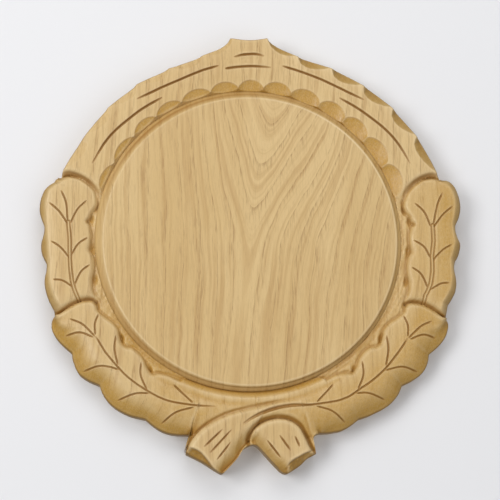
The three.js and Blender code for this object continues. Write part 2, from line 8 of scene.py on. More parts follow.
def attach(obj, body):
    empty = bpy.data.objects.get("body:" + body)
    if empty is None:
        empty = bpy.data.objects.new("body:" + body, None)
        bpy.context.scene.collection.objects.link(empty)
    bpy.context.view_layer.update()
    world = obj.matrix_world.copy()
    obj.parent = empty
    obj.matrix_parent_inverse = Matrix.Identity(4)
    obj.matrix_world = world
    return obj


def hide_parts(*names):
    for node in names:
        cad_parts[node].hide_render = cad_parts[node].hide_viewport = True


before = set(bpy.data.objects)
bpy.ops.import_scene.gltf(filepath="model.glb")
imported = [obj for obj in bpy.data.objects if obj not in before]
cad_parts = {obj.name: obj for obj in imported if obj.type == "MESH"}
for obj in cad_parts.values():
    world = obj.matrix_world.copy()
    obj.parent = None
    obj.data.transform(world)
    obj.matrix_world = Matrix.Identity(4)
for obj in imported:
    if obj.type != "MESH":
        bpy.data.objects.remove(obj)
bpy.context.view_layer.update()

# The plaque's sizes in millimetres, with heights from its back. The disc's radius, the shift of its
# face and the moat's height are the photographed ones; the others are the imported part's.
MM = 0.001
BOARD = 20.0
CARVING_SHIFT = 2.6
DISC_RADIUS = 87.64
FACE_SHIFT = (0.85, -0.85)
RECESS_RADIUS = 87.7
RECESS_FLOOR = 10.0
MOAT = 17.0

# The back: holes for the disc's screws and the pocket that the hanger lies in
SCREW_CIRCLE = 58.0
SCREW_ANGLES = (45, 135, 225, 315)
# A screw's hole from the recess to the back: radius and height
SCREW_HOLE = [(2.05, RECESS_FLOOR), (2.05, 2.6), (3.8, 0.4), (3.8, 0)]
POCKET_HALF_WIDTH = 10.0
POCKET_LOW = 65.75
POCKET_HIGH = 104.5
POCKET_CORNER = 5.0
POCKET_DEPTH = 4.7

# Steps round the carved face, and from the recess out to the rim
ROUND_STEPS = 2400
BAND_STEPS = 124


# Drawing helpers
def smooth_line(points, steps=8):
    """A Catmull-Rom curve through points; a point given twice keeps a corner."""
    p = np.array(points, float)
    p = np.vstack([2 * p[0] - p[1], p, 2 * p[-1] - p[-2]])
    out = []
    for a, b, c, d in zip(p, p[1:], p[2:], p[3:]):
        if np.allclose(b, c):
            continue
        if np.allclose(a, b):
            a = 2 * b - c
        if np.allclose(c, d):
            d = 2 * c - b
        for k in range(steps):
            u = k / steps
            bend = (2 * a - 5 * b + 4 * c - d) * u * u + (3 * b - a - 3 * c + d) * u ** 3
            out.append(0.5 * (2 * b + (c - a) * u + bend))
    out.append(p[-2])
    return np.array(out)


def line_distance(x, z, line, with_share=False):
    """Distance of each place to a polyline, and how far along it the nearest point lies."""
    best = np.full(x.shape, 1e9)
    share = np.zeros(x.shape)
    steps = np.hypot(*np.diff(line, axis=0).T)
    length = np.concatenate([[0], np.cumsum(steps)])
    for i, (a, b) in enumerate(zip(line, line[1:])):
        run = b - a
        span = max(float(run @ run), 1e-12)
        u = np.clip(((x - a[0]) * run[0] + (z - a[1]) * run[1]) / span, 0, 1)
        d = np.hypot(x - a[0] - u * run[0], z - a[1] - u * run[1])
        near = d < best
        best = np.where(near, d, best)
        if with_share:
            share = np.where(near, (length[i] + u * steps[i]) / length[-1], share)
    return (best, share) if with_share else best


def inside(x, z, polygon):
    """Whether places lie in a closed outline."""
    hit = np.zeros(x.shape, bool)
    for a, b in zip(polygon, np.roll(polygon, -1, axis=0)):
        crosses = (a[1] > z) != (b[1] > z)
        rise = b[1] - a[1] if abs(b[1] - a[1]) > 1e-12 else 1e-12
        hit ^= crosses & (x < a[0] + (z - a[1]) / rise * (b[0] - a[0]))
    return hit


def signed(x, z, polygon):
    """Distance to a closed outline, positive inside it."""
    d = line_distance(x, z, np.vstack([polygon, polygon[:1]]))
    return np.where(inside(x, z, polygon), d, -d)


def ease(low, high, value):
    """A smooth step from 0 at low to 1 at high."""
    u = np.clip((value - low) / (high - low), 0, 1)
    return u * u * (3 - 2 * u)


def near_line(x, z, line, width):
    """1 on a line, falling to 0 at a width from it."""
    return np.clip(1 - line_distance(x, z, line) / width, 0, 1)


def mottle(u, v, seed):
    """Smooth random values between -1 and 1, one cell of the pattern per unit of u and v."""
    table = np.random.default_rng(seed).uniform(-1, 1, (64, 64))
    i, j = np.floor(u).astype(int), np.floor(v).astype(int)
    s, t = ease(0, 1, u - i), ease(0, 1, v - j)
    low = table[i % 64, j % 64] * (1 - s) + table[(i + 1) % 64, j % 64] * s
    high = table[i % 64, (j + 1) % 64] * (1 - s) + table[(i + 1) % 64, (j + 1) % 64] * s
    return low * (1 - t) + high * t


def clock(angle, radius):
    """The place at a clock angle in degrees and a radius."""
    a = np.radians(angle)
    return np.stack([radius * np.sin(a), radius * np.cos(a)], -1)


# The carving's lines in millimetres, x right of its own axis and z up
TOOTH_TIPS = [(10, 120.3), (27.8, 108.8), (48, 101.4), (66.4, 90.9), (83.2, 77), (96.5, 60), (107.6, 38)]

# How far the edge between two tips bulges, right and left, from the crest's corner down,
# and half the crest's width, right and left
TOOTH_SWELLS = [(-0.9, -2.6), (0.9, -1), (1.5, -0.9), (1.5, -0.9), (1, -0.3), (1.2, 0.1)]
CREST_HALF = (10, 11.6)

UPPER_TIP = [
    (112.2, 36.2), (109, 35.9), (103.4, 36.9), (95.8, 33.7), (89.9, 27.8), (87.8, 20), (91, 14), (93, 9.7),
]
UPPER_OUTER = [
    (112.2, 36.2), (116.4, 34.4), (119.7, 31), (122, 24), (121.8, 16.5), (118.7, 8.3), (118.9, 3.6),
    (121, -2.2), (120.4, -8.4), (117.6, -13.7), (117.4, -18), (118.6, -24.3), (117, -33), (113.6, -41),
]
UPPER_INNER = [
    (93, 9.7), (91.6, 6), (90.8, 1.8), (91.3, -2.6), (92.1, -6.5), (90.2, -9.8), (89.1, -14.3), (89.4, -19),
    (90.6, -23.6), (89.9, -30), (87.4, -36),
]
UPPER_SHOULDER = [
    (108.5, 34.6), (113.8, 32.2), (117.4, 27.2), (118.3, 20), (116.9, 8.3), (116.6, -2), (115.5, -13.7),
    (115, -24), (112.6, -33), (109, -40),
]
UPPER_RIB = [(104.6, 9.2), (104, 0), (103.8, -10.8), (103.1, -20), (101.8, -27.6), (98.6, -36.5)]
UPPER_VEINS = [
    [(110.3, 28), (106.8, 20.5), (104.9, 9.6)],
    [(116.4, 20.8), (110.4, 15.5), (104.9, 8)],
    [(94.2, 21.8), (99.6, 16.5), (103.4, 8.2)],
    [(114.8, -1.7), (109.6, -5.3), (104.3, -11.4)],
    [(93.1, 0.2), (98.8, -3.6), (103, -10)],
    [(113.4, -23.8), (108, -24.6), (102.4, -28.2)],
    [(91.8, -15.4), (97, -19.4), (101, -27)],
]

LOWER_TIP = [(113.4, -43.6), (110.4, -43.2), (105, -39.8), (98.6, -36.6), (91.8, -35.6), (88.2, -37.4)]
LOWER_OUTER = [
    (113.4, -43.6), (114.9, -47.2), (114.7, -51.6), (112, -56), (107.6, -60.2), (102.4, -64.3),
    (102.4, -64.3), (101.4, -69), (98.6, -74.3), (93.4, -79), (86.9, -82.6), (86.9, -82.6), (84.4, -88.4),
    (79, -94.6), (70.8, -99.4), (61.6, -101.9), (61.6, -101.9), (56, -106.6), (50, -109.8), (43.6, -111),
    (36.6, -111.3),
]
LOWER_INNER = [
    (88.2, -37.4), (87.4, -41), (83.4, -44.4), (78.2, -48.2), (75.6, -51.8), (75, -55.6), (73.6, -59.4),
    (71.4, -61.3), (68, -62), (64.6, -64.6), (61.6, -68.4), (59.8, -73.2), (57.4, -76.6), (53.4, -76.6),
    (48, -78), (42, -80.8),
]
LOWER_RIB = [
    (88.9, -56), (82.6, -65.2), (75.8, -74.1), (67.8, -81.6), (59.2, -87.5), (52.4, -91.2), (46, -93.4),
    (34.7, -95.3), (22, -96.2),
]
LOWER_CREST = LOWER_RIB + [(10, -97), (0, -97.4)]
LOWER_VEINS = [
    [(87, -43.3), (89.2, -49), (88.9, -55.4)],
    [(77, -55), (77.8, -63), (76.3, -72.6)],
    [(63.1, -69.9), (63.6, -78), (60.3, -86.6)],
    [(45.8, -83.4), (41, -88.4), (35, -94.2)],
    [(104.2, -46.4), (96.5, -49.6), (89, -56.3)],
    [(106.2, -55.6), (98, -54), (90, -56.8)],
    [(95, -74.6), (85.7, -72.4), (75.5, -75)],
    [(76.6, -91.6), (67, -88.4), (58.9, -88.3)],
    [(52.6, -105), (44.6, -99.2), (34.5, -96.4)],
]

FRONT_STEM_UPPER = [
    (18.5, -92.9), (6.1, -95.2), (-11.1, -98.6), (-21, -102.4), (-28.4, -106.8), (-33.4, -111.2),
    (-36.6, -115.6), (-38.4, -120.2),
]
FRONT_STEM_RIGHT = [(-3.4, -115), (-5.2, -116.6), (-8.4, -120.4), (-11.6, -125.2), (-18.4, -132)]
FRONT_NECK = [
    (-7.5, -106), (-2.4, -102.7), (4.3, -99.5), (11, -97.3), (17.8, -96.1), (24.5, -95.8), (33.5, -95.9),
]
BACK_STEM_ARCH = [
    (-4.4, -114.6), (-3.2, -111), (-0.4, -107.2), (5.3, -103.9), (12.1, -102.5), (18.8, -103.6),
    (24.3, -107.4), (27.7, -113.6), (30.4, -119.4), (33.2, -123),
]
BACK_STEM_SIDE = [(-1.6, -115.4), (1.7, -119.2), (8.2, -126.6), (16, -133.2)]
FRONT_STEM_LINES = [
    [(-18.6, -108.6), (-29.2, -118.4)], [(-13.8, -109), (-25.9, -121.7)], [(-14.3, -115.8), (-22.1, -125.5)],
]
BACK_STEM_LINES = [
    [(5.7, -114.9), (13.3, -124.9)], [(12.7, -112.3), (18.9, -121.1)], [(21.3, -112.9), (23.9, -119)],
]
# Each stem end: its outer edge, then the bowed line where the sawn face begins
STEM_ENDS = [
    ([(-19.9, -132.8), (-23.8, -130.5), (-36.7, -122.6), (-39.1, -120.3)],
     [(-38.2, -118.6), (-35.4, -119), (-31.4, -121.1), (-28.1, -124.7), (-24.6, -129.4), (-22.8, -131.4)]),
    ([(33.4, -122.9), (24.2, -129.5), (18.5, -132.4), (16.2, -133.3)],
     [(16.2, -131), (18.8, -127), (23.4, -124.2), (28.8, -121.6), (32, -120.8)]),
]

# Each flute's line, half its width, how its ends fade and whether both sides have it
FLUTES = [
    ([(-9.8, 107.9), (-5, 109.3), (0, 109.8), (4, 109.7), (8, 108.6)], 0.9, (0.35, 0.3), False),
    ([(-15, 100.8), (-8, 101.8), (-0.4, 102.3), (5.5, 102.1), (12, 101.5)], 0.85, (0.06, 0.35), False),
    ([(18.6, 102.5), (29.3, 99), (40.9, 94.4), (51.5, 89.2), (58.7, 85.5), (66.2, 81.8)],
     0.85, (0.08, 0.15), True),
    ([(51.5, 83), (58.3, 79.1), (64.2, 75.2), (69.9, 70.8), (75.7, 66), (80.8, 60.9), (85.1, 55.3),
      (88.7, 49.2), (91.7, 43.3)], 0.85, (0.1, 0.25), True),
]
FLUTE_DEPTH = 1.35

# Thumbnail cuts round the disc: clock angle and half width of each, the radius of their foot and
# how far they reach out from it
SCALLOPS = [(0, 5.1), (10, 5.6), (21.1, 6.1), (32.3, 5.9), (43.2, 6), (54.9, 6.7), (67, 6.2)]
SCALLOP_FOOT = 87.2
SCALLOP_REACH = 6.9
# The clock angles between which the collar gives way to the ground
COLLAR_END = (69, 76.5)

# The carver's unevenness: clock angle, degrees the right side has turned down, and how far
# the right and the left edge lie out
UNEVEN = [
    (8, 0, 0, 0), (15.5, 0, 0, 0.7), (23.8, 0, 0, -0.6), (30.5, 0, 0, 0.5), (41, 0, 0, 0.8), (48, 0, 0, 0),
    (62, 0, 0, 0), (71, 0.6, -0.2, 2), (73.5, 0.8, -0.4, -2.8), (76, 1, -0.9, -1.1), (80, 1.3, -1.1, -0.3),
    (85, 1.4, -2.1, 0.7), (90, 1.4, 0, 0), (95, 1.5, -2.2, -0.2), (99.5, 1.6, -0.8, 0),
    (103.5, 1.8, -1.2, 0), (107.5, 1.9, -3.2, -0.3), (110.6, 1.9, -1.3, -0.7), (114, 1.9, -2.5, -0.6),
    (119, 1.9, -1.1, 0.2), (125, 1.9, -0.4, 0.9), (128, 1.9, -0.4, 1.6), (133, 1.9, -0.9, 0.6),
    (138, 1.9, -1.1, 0.7), (144, 1.8, -1.5, 0.4), (148.5, 1.7, -0.3, 0.3), (157, 0.9, -1, 0),
    (165, 0, 0, 0),
]
# The inner edges of both leaf rows lie further left by this, between these clock angles
INNER_STEP = 1.0
INNER_RANGE = (66, 76, 138, 156)
# Pits where the gouge stopped at the leaves' inner edges
PITS = [(88.3, 18.5), (91.2, 11), (90.2, -6), (88.8, -23.4), (74, -57), (58.6, -75.6)]
PIT_SIZE = (1.3, 2.6)
PIT_DEPTH = 2.2

# The inner line of a tooth's cut: share of the way from tip to tip, and how far it lies out
TOOTH_CUT = ([0, 0.05, 0.14, 0.3, 0.45, 0.62, 0.8, 1.0], [0.6, -2, -4.4, -5.6, -5.6, -4.7, -2.9, 0.3])

# Vee cuts: half width, depth, how the ends fade, and share of darkening where it isn't full, painted shade
# along the cut's bottom
VEIN_CUT = (0.6, 1.0, (0.12, 0.1), 0.8)
MIDRIB_CUT = (0.6, 1.1, (0.05, 0.12), 0.8)
STEM_CUT = (0.6, 1.1, (0.3, 0.25))
NECK_CUT = (1.4, 1.8, (0.5, 0.6))

# Half the width of the soft step from one form to the next
SEAM = 0.3


def moved_out(phi, rho, right):
    """How far places of the even pattern lie out, in millimetres."""
    angles, _, rights, lefts = np.array(UNEVEN).T
    edge = np.where(right, np.interp(phi, angles, rights), np.interp(phi, angles, lefts))
    inner = np.where(right, -INNER_STEP, INNER_STEP) * np.interp(phi, INNER_RANGE, (0, 1, 1, 0))
    return edge * np.clip((rho - 90) / 30, 0, 1) + inner * np.clip((108 - rho) / 16, 0, 1)


def turned(phi, right):
    """Degrees that places of the even pattern have turned down."""
    angles, turns = np.array(UNEVEN).T[:2]
    return np.where(right, np.interp(phi, angles, turns), 0)


def made_uneven(points):
    """Real places of points given in the even pattern."""
    x, z = np.array(points, float).T
    phi, rho = np.degrees(np.arctan2(np.abs(x), z)), np.hypot(x, z)
    place = clock(phi + turned(phi, x > 0), rho + moved_out(phi, rho, x > 0))
    return place * np.stack([np.where(x < 0, -1, 1), np.ones(x.shape)], -1)


def made_even(x, z):
    """Places of the even pattern that lie at the given real places."""
    phi, rho = np.degrees(np.arctan2(np.abs(x), z)), np.hypot(x, z)
    phi = phi - turned(phi - turned(phi, x > 0), x > 0)
    place = clock(phi, rho - moved_out(phi, rho - moved_out(phi, rho, x > 0), x > 0))
    return place[..., 0] * np.where(x < 0, -1, 1), place[..., 1]


def collar_rim(side):
    """Tooth tips joined by nearly straight edges; side 0 is the right, 1 the left."""
    crest, top = CREST_HALF[side], TOOTH_TIPS[0][1]
    line = [(crest * k / 4, top - 1.3 * math.cos(math.pi * k / 8)) for k in range(4)]
    tips = [(crest, top)] + TOOTH_TIPS[1:]
    for (x0, z0), (x1, z1), swells in zip(tips, tips[1:], TOOTH_SWELLS):
        a0, a1 = math.degrees(math.atan2(x0, z0)), math.degrees(math.atan2(x1, z1))
        r0, r1 = math.hypot(x0, z0), math.hypot(x1, z1)
        for k in range(10):
            u = k / 10
            swell = swells[side] * math.sin(math.pi * u ** 0.6)
            line.append(tuple(clock(a0 + (a1 - a0) * u, r0 + (r1 - r0) * u + swell)))
    line.append(TOOTH_TIPS[-1])
    return line


def outline():
    """The plaque's edge, clockwise from the crest."""
    notch = smooth_line([(108, 36.7), (110, 35.4), (112.2, 36.2)], 3)[1:-1]
    leaves = [notch, smooth_line(UPPER_OUTER), smooth_line(LOWER_OUTER)]
    right = np.vstack([collar_rim(0)] + leaves)
    left = np.vstack([collar_rim(1)[1:]] + leaves)[::-1] * (-1, 1)
    stems = smooth_line([
        (34.2, -111.9), (32.2, -114.1), (32.7, -118.4), (33.4, -122.6), (33.4, -122.6), (28.4, -125.2),
        (24.2, -129), (18.5, -132.6), (16.2, -133.3), (16.2, -133.3), (13.6, -131.8), (8, -126),
        (4, -121.4), (1.2, -118.4), (-0.6, -117.2), (-2.7, -117.2), (-4.6, -118), (-7.3, -119.6),
        (-10.8, -124.6), (-18, -132), (-19.9, -132.8), (-19.9, -132.8), (-23.8, -130.5), (-30.4, -126.2),
        (-37.2, -122.7), (-40.2, -121.2), (-40.2, -121.2), (-38, -115.8),
    ])
    return made_uneven(np.vstack([right, stems, left]))


RIM = outline()


def rim_radius(angles):
    """Outline radius about the disc's centre for clock angles in radians."""
    x, z = RIM[:, 0] + CARVING_SHIFT, RIM[:, 1]
    a = np.arctan2(x, z) % (2 * math.pi)
    order = np.argsort(a)
    return np.interp(angles, a[order], np.hypot(x, z)[order], period=2 * math.pi)


# The carving is kept in layers: height in millimetres, share of fresh cut and share of darkening, which is
# painted shade along the bottoms and edges of cuts and furrows, with the darker end grain of the sawn stem
# ends
HEIGHT, CUT, DARKENING = range(3)


def layers(h):
    """The three layers of a surface of given height, with no cut or tool line yet."""
    return np.stack([h, np.zeros_like(h), np.zeros_like(h)])


def at_least(surface, layer, value):
    """Raises a layer to a value where it lies lower."""
    surface[layer] = np.maximum(surface[layer], value)


def seam(distance):
    """1 inside a form and 0 outside it, with a narrow soft step between."""
    return ease(-SEAM, SEAM, distance)


def vee(surface, x, z, line, half, depth, taper=(0.35, 0.5), darkening=1.0):
    """A vee cut with soft lips, full between the tapers at its start and end."""
    line = smooth_line(line)
    lo, hi = line.min(0) - 3, line.max(0) + 3
    near = (x > lo[0]) & (x < hi[0]) & (z > lo[1]) & (z < hi[1])
    d, share = line_distance(x[near], z[near], line, True)
    strength = np.clip(share / taper[0], 0, 1) ** 0.6 * np.clip((1 - share) / taper[1], 0, 1) ** 0.6
    w = half * (0.45 + 0.55 * strength)
    lip = 0.12 * np.exp(-((d - 1.35 * w) / (0.5 * w)) ** 2)
    surface[HEIGHT, near] -= depth * strength * (np.clip(1 - d / w, 0, None) - lip)
    # painted shade along the vee's bottom
    at_least(surface, (DARKENING, near), darkening * strength ** 0.5 * np.clip(2.5 - 2 * d / w, 0, 1))


def groove(surface, s, width, depth, darkening=0.35):
    """A furrow outside a form's edge, steep on the form's side, whose bottom is darkened out to its width as
    painted shade.
    """
    d = np.where(s < 0, -s, 2.5 * s)
    surface[HEIGHT] -= depth * np.exp(-(d / width) ** 2)
    at_least(surface, DARKENING, darkening * np.clip(depth / 3, 0, 1) * np.clip(3.2 - 2.4 * d / width, 0, 1))


def blend(surface, over, share):
    """Lays one set of layers over another."""
    return surface * (1 - share) + over * share


def tooth_facets(surface, rho, phi, strength):
    """Slanting gouge cuts that leave the teeth along the collar's rim."""
    tips = [math.degrees(math.atan2(*t)) for t in TOOTH_TIPS]
    rims = [math.hypot(*t) for t in TOOTH_TIPS]
    for a0, a1, r0, r1 in zip(tips, tips[1:], rims, rims[1:]):
        u = np.clip((phi - a0) / (a1 - a0), 0, 1)
        inner = np.interp(u, *TOOTH_CUT) + r0 + (r1 - r0) * u
        drop = strength * np.clip(np.where((phi >= a0) & (phi < a1), rho - inner, 0), 0, None)
        surface[HEIGHT] -= (0.92 - 0.3 * u) * drop
        at_least(surface, CUT, 0.9 * np.clip(drop / 0.5, 0, strength) * (1 - 0.4 * u ** 2))


def scallop_cuts(surface, rho, phi, to_disc, left):
    """Thumbnail cuts that run down from the collar to the moat."""
    middle = np.full(phi.shape, 9.0)
    for angle, half in SCALLOPS:
        u = (phi - angle) / half
        middle = np.minimum(middle, np.abs(u))
        top = SCALLOP_FOOT + SCALLOP_REACH * np.sqrt(np.clip(1 - u * u, 0, 1))
        q = (top - rho) / SCALLOP_REACH
        within = (q > 0) & (np.abs(u) < 1)
        q = np.clip(q, 0, 1)
        floor = BOARD - (BOARD - MOAT) * np.maximum(q ** 0.8, 1 - to_disc / 1.5)
        surface[HEIGHT] = np.where(within, np.minimum(surface[HEIGHT], floor), surface[HEIGHT])
        at_least(surface, CUT, within * ease(0, 0.1, q))
        # painted shade along each scallop's upper edge
        edge = within * np.exp(-(q / 0.09) ** 2) * np.where(left, 1, np.clip(0.6 - u, 0, 1))
        at_least(surface, DARKENING, 0.75 * edge)
    # painted shade in the corners between scallops, weaker on the lit left side
    corner_shade = ease(0.35, 0.95, middle) * np.clip(1 - to_disc / 3.4, 0, 1)
    at_least(surface, DARKENING, corner_shade * np.where(left, 0.12, 0.5))


def collar_relief(x, z, to_disc):
    """The slightly domed collar with its teeth, scallops, flutes and inner lip."""
    rho, phi = np.hypot(x, z), np.degrees(np.arctan2(np.abs(x), z))
    surface = layers(BOARD - 0.4 * ((rho - 101) / 12) ** 2)
    # painted light: the left side's facets are cut shallower and take at most a fifth of the cut colour, so
    # that side reads paler where the light falls
    tooth_facets(surface, rho, phi, np.where(x < 0, 0.2, 1))
    scallop_cuts(surface, rho, phi, to_disc, x < 0)
    for line, half, taper, both in FLUTES:
        for sign in (1, -1) if both else (1,):
            vee(surface, x * sign, z, line, half, FLUTE_DEPTH, taper)
    lip = np.clip(1 - to_disc / 0.9, 0, 1)
    surface[HEIGHT] = np.minimum(surface[HEIGHT], BOARD - (BOARD - MOAT) * lip ** 0.7)
    at_least(surface, CUT, np.clip(lip * 3, 0, np.where(x < 0, 0.5, 1)))
    return surface


def crowned(x, z, edges, crest, power):
    """Height of a leaf from its crest line down to its edges, each given as a line and its height."""
    to_crest = line_distance(x, z, crest)
    nearest = np.full(x.shape, 1e9)
    total = np.zeros(x.shape)
    height = np.zeros(x.shape)
    for line, low in edges:
        d = line_distance(x, z, line)
        nearest = np.minimum(nearest, d)
        weight = 1 / (d + 0.4) ** 3
        total += weight
        height += weight * low
    s = nearest / (nearest + to_crest + 1e-6)
    return height / total + (19.6 - height / total) * (1 - (1 - s) ** power)


def rounded_over(x, z, tip, inner):
    """How far a leaf falls along its tip and its inner edge."""
    return 2.2 * near_line(x, z, tip, 2.4) ** 2 + 1.8 * near_line(x, z, inner, 2.6) ** 2


def leaf_polygons():
    """Each leaf's whole area, run on past the rim and under the stems."""
    upper = np.vstack([
        smooth_line(UPPER_OUTER) * 1.07, [(106, -48), (90, -44)], smooth_line(UPPER_INNER)[::-1],
        smooth_line(UPPER_TIP)[::-1], [(116, 37.4)],
    ])
    lower = np.vstack([
        smooth_line(LOWER_TIP)[::-1], [(121, -46.5)], smooth_line(LOWER_OUTER) * 1.07,
        [(30, -126), (0, -124), (0, -85), (20, -84), (36, -79.6)], smooth_line(LOWER_INNER)[::-1],
    ])
    return upper, lower


def ground_relief(x, z, to_disc):
    """The sunk ground between the leaves and the disc, left rough from the gouge."""
    rho, phi = np.hypot(x, z), np.degrees(np.arctan2(x, z))
    h = MOAT - 0.2 + 0.15 * np.clip(rho - 88, 0, 8)
    h = h + 0.26 * mottle(rho / 1.1, phi / 4.5, 11) + 0.18 * mottle(x / 1.6, z / 1.6, 5)
    surface = layers(h)
    low = ease(108, 132, np.abs(phi))
    surface[CUT] = 0.25 + 0.15 * mottle(rho / 1.3, phi / 3, 21) + low * np.where(x < 0, 0.45, 0.2)
    surface[CUT] += 0.4 * low * np.clip(1 - to_disc / 4, 0, 1)
    # painted shade in the moat beside the disc at the bottom, weaker on the left
    surface[DARKENING] = low * np.clip(1.5 - to_disc / 2.2, 0, 1) * np.where(x < 0, 0.3, 0.45)
    for px, pz in PITS:
        pit = np.exp(-(((np.abs(x) - px) / PIT_SIZE[0]) ** 2 + ((z - pz) / PIT_SIZE[1]) ** 2))
        surface[HEIGHT] -= PIT_DEPTH * pit
        surface[CUT] += 0.6 * pit
    return surface


def upper_leaf(x, z, s_lower):
    """The leaf beside the disc, whose foot dips under the lower leaf."""
    crest = smooth_line(UPPER_VEINS[0][:2] + UPPER_RIB + [(97.4, -42)])
    inner, tip, shoulder = map(smooth_line, (UPPER_INNER, UPPER_TIP, UPPER_SHOULDER))
    beyond_rim = np.array([(126, 34), (126, -48)])
    h = crowned(x, z, [(inner, 19.0), (tip, 18.6), (beyond_rim, 16.8)], crest, 1.6)
    beyond = signed(x, z, np.vstack([shoulder, [(60, -40), (60, 34)]]))
    h -= 0.5 * np.clip(0.6 - beyond, 0, None) ** 1.5
    h -= rounded_over(x, z, tip, inner)
    surface = layers(h)
    for line in UPPER_VEINS:
        vee(surface, x, z, line, *VEIN_CUT)
    rib = line_distance(x, z, smooth_line(UPPER_RIB))
    cut = np.exp(-((rib - 0.85) / 0.4) ** 2)
    surface[HEIGHT] -= 0.85 * cut
    # painted shade in the grooves beside the rib
    at_least(surface, DARKENING, 0.75 * cut)
    groove(surface, np.where(s_lower < 0, s_lower, 9), 1.6, 3.0)
    surface[HEIGHT] -= 1.6 * np.clip(1 + s_lower / 7, 0, 1) ** 2
    surface[CUT] = 0.8 * ease(0.2, -2.2, beyond)
    return surface


def lower_leaf(x, z, to_disc):
    """The leaf below, whose inner side becomes the moat's bank at the bottom."""
    inner, tip, outer = map(smooth_line, (LOWER_INNER, LOWER_TIP, LOWER_OUTER))
    moat_edge = clock(np.linspace(152, 180, 12), 88.0)
    bottom = np.array([(38, -112), (20, -115), (0, -116)])
    edges = [(inner, 18.8), (tip, 18.4), (outer, 11.6), (moat_edge, 17.5), (bottom, 15.5)]
    h = crowned(x, z, edges, smooth_line(LOWER_CREST), 2.0)
    h -= rounded_over(x, z, tip, inner)
    surface = layers(h)
    surface[CUT] = np.clip((18.9 - h) / 3.6, 0, 1)
    phi = np.degrees(np.arctan2(x, z))
    band = ease(138, 152, phi)
    bank = np.clip(1 - to_disc / 4.3, 0, 1)
    surface[HEIGHT] -= band * (2.4 * bank ** 1.5 + 0.6 * np.exp(-((to_disc - 7.4) / 1.9) ** 2))
    at_least(surface, CUT, band * np.clip(bank * 2.4, 0, 0.95))
    at_least(surface, CUT, 0.6 * band * np.exp(-((to_disc - 7.6) / 2.2) ** 2))
    # painted shade at the foot of the bank beside the disc
    at_least(surface, DARKENING, 0.2 * band * np.clip(1.5 - to_disc / 1.1, 0, 1))
    foot = ease(138, 158, phi) * ease(91, 95, np.hypot(x, z))
    at_least(surface, CUT, foot * (0.55 + 0.25 * mottle(x / 2.5, z / 2.5, 41)))
    for line in LOWER_VEINS:
        vee(surface, x, z, line, *VEIN_CUT)
    vee(surface, x, z, LOWER_RIB, *MIDRIB_CUT)
    return surface


def stem_end_cuts(surface, x, z):
    """The sawn faces of the stems' ends, rough and bowed into the stems' tops."""
    for outer, bow in STEM_ENDS:
        outer, bow = np.array(outer), smooth_line(bow)
        centre = outer.mean(0)
        face = signed(x, z, np.vstack([centre + (outer - centre) * (1.06, 1.2) + (0, -2), bow]))
        to_bow = line_distance(x, z, bow)
        share = ease(-0.15, 0.2, face)
        rough = 0.3 * mottle(x / 0.9, z / 0.9, 31)
        sawn = np.minimum(surface[HEIGHT], 18.4 - 1.1 * to_bow + rough)
        surface[HEIGHT] = surface[HEIGHT] * (1 - share) + sawn * share
        edge = np.exp(-(to_bow / 0.5) ** 2)
        surface[HEIGHT] -= 0.4 * edge
        at_least(surface, CUT, share)
        # painted shade along the bowed groove, and darker end grain on the rough sawn face
        at_least(surface, DARKENING, 0.6 * edge)
        at_least(surface, DARKENING, share * np.clip(0.5 + 1.2 * rough - 0.1 * to_bow, 0, 1))


def stem_top(x, z, top, edge, edge_drop, side_line, side_reach, side_drop, cuts):
    """One stem: rounded along its edge, sloped to its side, with short cuts along it."""
    side = near_line(x, z, smooth_line(side_line), side_reach)
    stem = layers(top - edge_drop * near_line(x, z, edge, 3.2) ** 2 - side_drop * side ** 2)
    stem[CUT] = 0.8 * ease(0.25, 0.8, side)
    for line in cuts:
        vee(stem, x, z, line, *STEM_CUT)
    return stem


def stems_relief(surface, x, z):
    """The back stem under its arch, then the front stem that crosses over it."""
    arch = smooth_line(BACK_STEM_ARCH)
    s_back = signed(x, z, np.vstack([arch, [(40, -131), (20, -142), (-3, -121)]]))
    stem = stem_top(x, z, 19.6, arch, 1.8, BACK_STEM_SIDE, 8, 5.5, BACK_STEM_LINES)
    surface = blend(surface, stem, seam(s_back))

    upper_edge = smooth_line(FRONT_STEM_UPPER)
    front = np.vstack([
        upper_edge, [(-42, -126), (-22, -142)], smooth_line(FRONT_STEM_RIGHT)[::-1], arch[:18],
        smooth_line(FRONT_NECK[2:]), [(28, -93.6)],
    ])
    s_front = signed(x, z, front)
    to_upper, along = line_distance(x, z, upper_edge, True)
    groove(surface, np.where(s_front < 0, -to_upper, 99), 1.3, 1.2 * np.clip(along * 6, 0, 1), 1.0)
    stem = stem_top(x, z, BOARD, upper_edge, 2, FRONT_STEM_RIGHT, 9, 6, FRONT_STEM_LINES)
    surface = blend(surface, stem, seam(s_front) * np.clip((24 - x) / 14, 0, 1))
    vee(surface, x, z, FRONT_NECK, *NECK_CUT)
    groove(surface, s_back, 1.6, 2.2, 0.8)
    return surface


